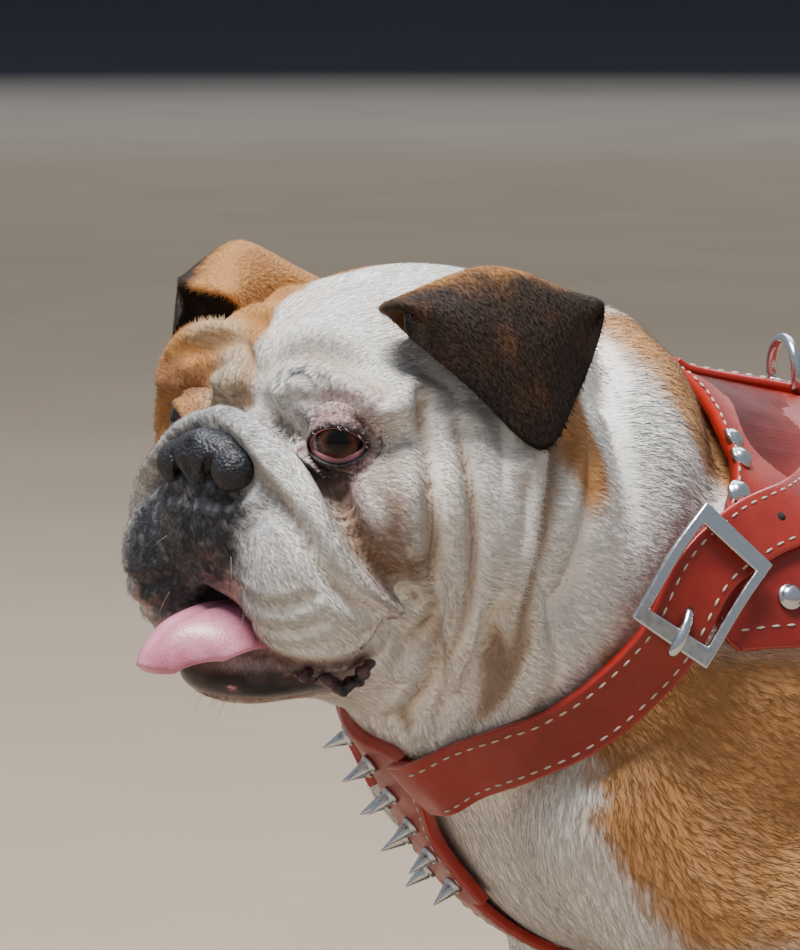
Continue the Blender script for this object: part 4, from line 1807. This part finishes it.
def claw():
    """A blunt cone of horn that leaves the toe forwards and bends down"""
    bm = bmesh.new()
    bmesh.ops.create_cone(bm, cap_ends=True, segments=14, radius1=1, radius2=0.45, depth=1)
    long_edges = [e for e in bm.edges if abs(e.verts[0].co.z - e.verts[1].co.z) > 0.5]
    bmesh.ops.subdivide_edges(bm, edges=long_edges, cuts=6)
    rims = [e for e in bm.edges if e.is_manifold and e.calc_face_angle() > 0.8]
    bmesh.ops.bevel(bm, geom=rims, offset=0.12, affect="EDGES", segments=2, profile=0.5, material=-1)
    for v in bm.verts:
        t = v.co.z + 0.5
        v.co = (-CLAW_LONG * t + v.co.y * CLAW_THICK * 0.5 * t, v.co.x * CLAW_THICK * 0.72,
                v.co.y * CLAW_THICK - CLAW_LONG * CLAW_DROP * t * t)
    bmesh.ops.triangulate(bm, faces=bm.faces)
    bmesh.ops.recalc_face_normals(bm, faces=bm.faces)
    return mesh_from(bm, "claw")

places = []
for paw in PAWS.values():
    for toe in TOES:
        line, r = toe_line(paw, toe)
        for side in (1, -1):
            at = np.array(line[2]) * [1, side, 1] + [-r * 0.2, 0, r * 0.15]
            places.append(BODY_MATRIX @ Matrix.Translation(at))
claws = joined_copies("claws", claw(), places)
dress(claws, plain("dark_claw_horn", "#2E2623", 0.38))
say("claws", len(places))

# %% [markdown]
# Whiskers and lashes are stiffer than the coat and stand out of it, so they are single hairs:
# thin spikes of three sides. Whiskers bend under their own weight, and lashes curl up.

# %% Whiskers and lashes
HAIR_RINGS = 6
HAIR_TAPER = 0.85

def long_hairs(name, roots, ways, long, thick, droop, colour):
    """Thin bent hairs; roots in metres, ways of length 1, long and thick in millimetres"""
    n = len(roots)
    t = np.linspace(0, 1, HAIR_RINGS)
    spine = roots[:, None] + ways[:, None] * (long[:, None] * t * MM)[..., None]
    spine[:, :, 2] -= droop * (long[:, None] * MM) * t ** 2
    across = unit(np.cross(ways, TILTED))
    over = np.cross(across, ways)
    turn = (np.arange(3) * 2 * math.pi / 3)[None, :, None]
    ring = np.cos(turn) * across[:, None] + np.sin(turn) * over[:, None]
    points = spine[:, :, None] + ring[:, None] * (thick * MM * (1 - HAIR_TAPER * t))[None, :, None, None]
    triangles = [[0, 2, 1], [3 * HAIR_RINGS - 3, 3 * HAIR_RINGS - 2, 3 * HAIR_RINGS - 1]]
    for k in range(HAIR_RINGS - 1):
        for j in range(3):
            a, b = 3 * k + j, 3 * k + (j + 1) % 3
            triangles += [[a, b, b + 3], [a, b + 3, a + 3]]
    mesh, _ = mesh_of_copies(name, points.reshape(n, -1, 3), triangles)
    set_colour(mesh, np.repeat(colour, 3 * HAIR_RINGS, 0))
    patches = np.stack([np.arange(n) % 16, np.arange(n) // 16], 1) / 16 + 0.02
    corners = patches[:, None] + np.array([[0, 0], [UV_PATCH, 0], [0, UV_PATCH]])
    uv = np.tile(corners, (1, len(triangles), 1))
    mesh.uv_layers.new(name="OFBake").data.foreach_set("uv", uv.astype(np.float32).ravel())
    mesh.materials.append(hair_material)
    return add_object(name, mesh)

skin_tree = BVHTree.FromPolygons([Vector(v) for v in vertices(skin.data)], triangles_of(skin.data).tolist())

def rooted(spot):
    """The nearest place on the skin to a spot of the head's frame, and the skin's normal there"""
    at, normal, _, _ = skin_tree.find_nearest(Vector(from_head(spot)[0]))
    return at, np.array(normal)

def whiskers():
    roots, ways, long = [], [], []
    for side in (1, -1):
        for row, up_at in enumerate((-30, -38, -46, -55)):
            for k in range(3 if side > 0 else 1):
                spot = np.array([88 - 6 * k, (20 + 7.5 * k) * side, up_at - 2.0 * k]) + RNG.normal(0, 1.5, 3)
                at, normal = rooted(spot)
                way = normal + 0.5 * side * HEAD_AXES[1] - 0.35 * FORWARD + [0, 0, -0.35]
                roots.append(at)
                ways.append(unit(way + RNG.normal(0, 0.12, 3)))
                long.append(RNG.uniform(7, 15))
    for k in range(10):
        at, normal = rooted(np.array([84 + RNG.normal(0, 3), RNG.normal(0, 16), -97]))
        roots.append(at)
        ways.append(unit(normal + 0.4 * FORWARD))
        long.append(RNG.uniform(6, 13))
    pale = RNG.random(len(roots)) < 0.5
    colour = np.where(pale[:, None], linear("#B9B2AA"), linear("#3A3536"))
    return long_hairs("whiskers", np.array(roots), np.array(ways), np.array(long), 0.09, 0.22, colour)

def lashes():
    roots, ways, long, pale = [], [], [], []
    for side in (1, -1):
        margin = closed_line(OPENING, (np.arange(64) + 0.5) / 64)
        for spot in margin[margin[:, 1] > -2.0]:
            spot = spot + [0, 0.5]
            forward = math.sqrt((EYE_RADIUS + 2.1) ** 2 - (spot ** 2).sum())
            at = before_eye(spot[None], np.array([forward]))[0]
            way = LOOK + 0.75 * TEMPLE + [0, 0, -0.45] + RNG.normal(0, 0.28, 3)
            roots.append(from_head(at * [1, side, 1])[0])
            ways.append(unit((way * [1, side, 1]) @ HEAD_AXES))
            long.append(RNG.uniform(2.2, 4.2) if side > 0 else 2.0)
            pale.append(side > 0 and RNG.random() < 0.25)
    colour = np.where(np.array(pale)[:, None], linear("#DDD3C6"), linear("#1E191A"))
    return long_hairs("lashes", np.array(roots), np.array(ways), np.array(long), 0.11, -0.25, colour)

single_hairs = [whiskers(), lashes()]
say("single hairs", [len(p.data.polygons) for p in single_hairs])

# %% [markdown]
# Every piece rides the one still body. The skin stands for all the nodes of flesh, and eyes,
# nose, tongue, leather and metal each for their own node. Hair, stitches, holes, lip lumps and
# claws are added to them.

# %% Hand over the pieces
LIMBS = [f"{limb}_{side}" for limb in ("foreleg", "forepaw", "hindleg", "hindpaw")
         for side in ("left", "right")]
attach(skin, "root")
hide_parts("head", "jaw", "neck", "torso", "tail", "ear_left", "ear_right", *LIMBS)
for piece in coat_pieces + single_hairs:
    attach(piece, "root")
for piece, node, slot in [(eyes[0], "eye_left", "eye"), (eyes[1], "eye_right", "eye"),
                          (nose, "nose", "nose"), (tongue, "tongue", "tongue")]:
    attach(piece, "root")
    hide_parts(node)
for name, piece in leathers.items():
    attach(piece, "root")
    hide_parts(name)
for name, piece in metals.items():
    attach(piece, "root")
    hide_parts(name)
for piece, slot in [(stitches, "leather"), (hole_marks, "leather"), (lip_lumps, "tongue"), (claws, "nose")]:
    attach(piece, "root")

# %% [markdown]
# The photo was taken out of doors under a bright, overcast sky: soft cool light from above and
# the front, and warm light thrown back by pale dry ground. One broad lamp stands for the bright
# part of the sky, a fainter one for the sky behind the dog, and the world for the rest of it.
# The pale ground throws back its own light.

# %% Light
def lamp(name, at, size, power, colour, target=(-0.15, 0, 0.3)):
    data = bpy.data.lights.new(name, "AREA")
    data.size = size
    data.energy = power
    data.color = colour
    lamp_object = add_object(name, data)
    lamp_object.location = at
    lamp_object.rotation_euler = (Vector(target) - Vector(at)).to_track_quat("-Z", "Y").to_euler()

lamp("bright_sky", (-0.6, -0.4, 2.5), 0.9, 122, (1.0, 0.98, 0.95))
lamp("sky_behind", (0.8, 1.5, 2.3), 1.8, 46, (0.88, 0.94, 1.0))
world = bpy.data.worlds.new("overcast_sky")
bpy.context.scene.world = world
world.use_nodes = True
sky = world.node_tree.nodes["Background"]
sky.inputs["Color"].default_value = (0.80, 0.89, 1.0, 1)
sky.inputs["Strength"].default_value = 0.46

# %% [markdown]
# The ground is dry and pale. Far off, where the photo is out of focus, it turns paler and then
# dark. Both are bands of one material, read from the distance to the dog.

# %% Ground
GROUND = 17
GROUND_STOPS = [(0.0, "#A69786"), (0.16, "#B3A18D"), (0.27, "#C6B199"), (0.40, "#D6BFA5"), (0.47, "#E2D0BB"),
                (0.52, "#D6C7B5"), (0.59, "#34353D"), (1.0, "#191B23")]

def dry_ground():
    """Dry packed earth with fine grit, paler far off and dark at the far hedge"""
    m, tree, shader = material("dry_packed_earth")
    place = add(tree, "ShaderNodeTexCoord").outputs["Object"]
    far = add(tree, "ShaderNodeVectorMath", {0: place}, operation="LENGTH").outputs["Value"]
    share = add(tree, "ShaderNodeMath", {0: far, 1: GROUND}, operation="DIVIDE").outputs[0]
    bands = set_stops(add(tree, "ShaderNodeValToRGB", {"Fac": share}), GROUND_STOPS)
    patchy = add(tree, "ShaderNodeTexNoise", {"Vector": place, "Scale": 1 / 0.35, "Detail": 5}).outputs["Fac"]
    dim = add(tree, "ShaderNodeMapRange", {"Value": patchy, "To Min": 0.88, "To Max": 1.1}).outputs["Result"]
    earth = add(tree, "ShaderNodeVectorMath", {0: bands, "Scale": dim}, operation="SCALE").outputs[0]
    grit = add(tree, "ShaderNodeTexNoise", {"Vector": place, "Scale": 1 / (5 * MM), "Detail": 6})
    raised = add(tree, "ShaderNodeBump", {"Height": grit.outputs["Fac"], "Strength": 0.4, "Distance": 2 * MM})
    feed(shader, {"Base Color": earth, "Roughness": 0.95, "Specular IOR Level": 0.1,
                  "Normal": raised.outputs["Normal"]})
    return m

bm = bmesh.new()
bmesh.ops.create_circle(bm, cap_ends=True, segments=96, radius=GROUND)
ground = object_from(bm, "ground")
ground.data.materials.append(dry_ground())
ground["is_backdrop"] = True

# %% [markdown]
# The camera stands low to the dog's left and a little ahead of it, with a long lens, which
# frames the head as the photo does.

# %% Camera
AZIMUTH, ELEVATION, DISTANCE = math.radians(-20), math.radians(7), 2.3
TARGET = Vector((-0.187, -0.030, 0.365))
lens = bpy.data.cameras.new("camera")
lens.lens = 217.9
lens.sensor_width = 36
lens.dof.use_dof = False
camera = add_object("camera", lens)
back = Vector((math.sin(AZIMUTH) * math.cos(ELEVATION), -math.cos(AZIMUTH) * math.cos(ELEVATION),
               math.sin(ELEVATION)))
camera.location = TARGET + DISTANCE * back
camera.rotation_euler = (-back).to_track_quat("-Z", "Y").to_euler()
bpy.context.scene.camera = camera

# %% Finish
visual_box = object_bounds()
boxes = {"cad": [list(v) for v in CAD_BOX], "visual": [list(v) for v in visual_box]}
say("dressed model reaches from", boxes["visual"][0], "to", boxes["visual"][1])
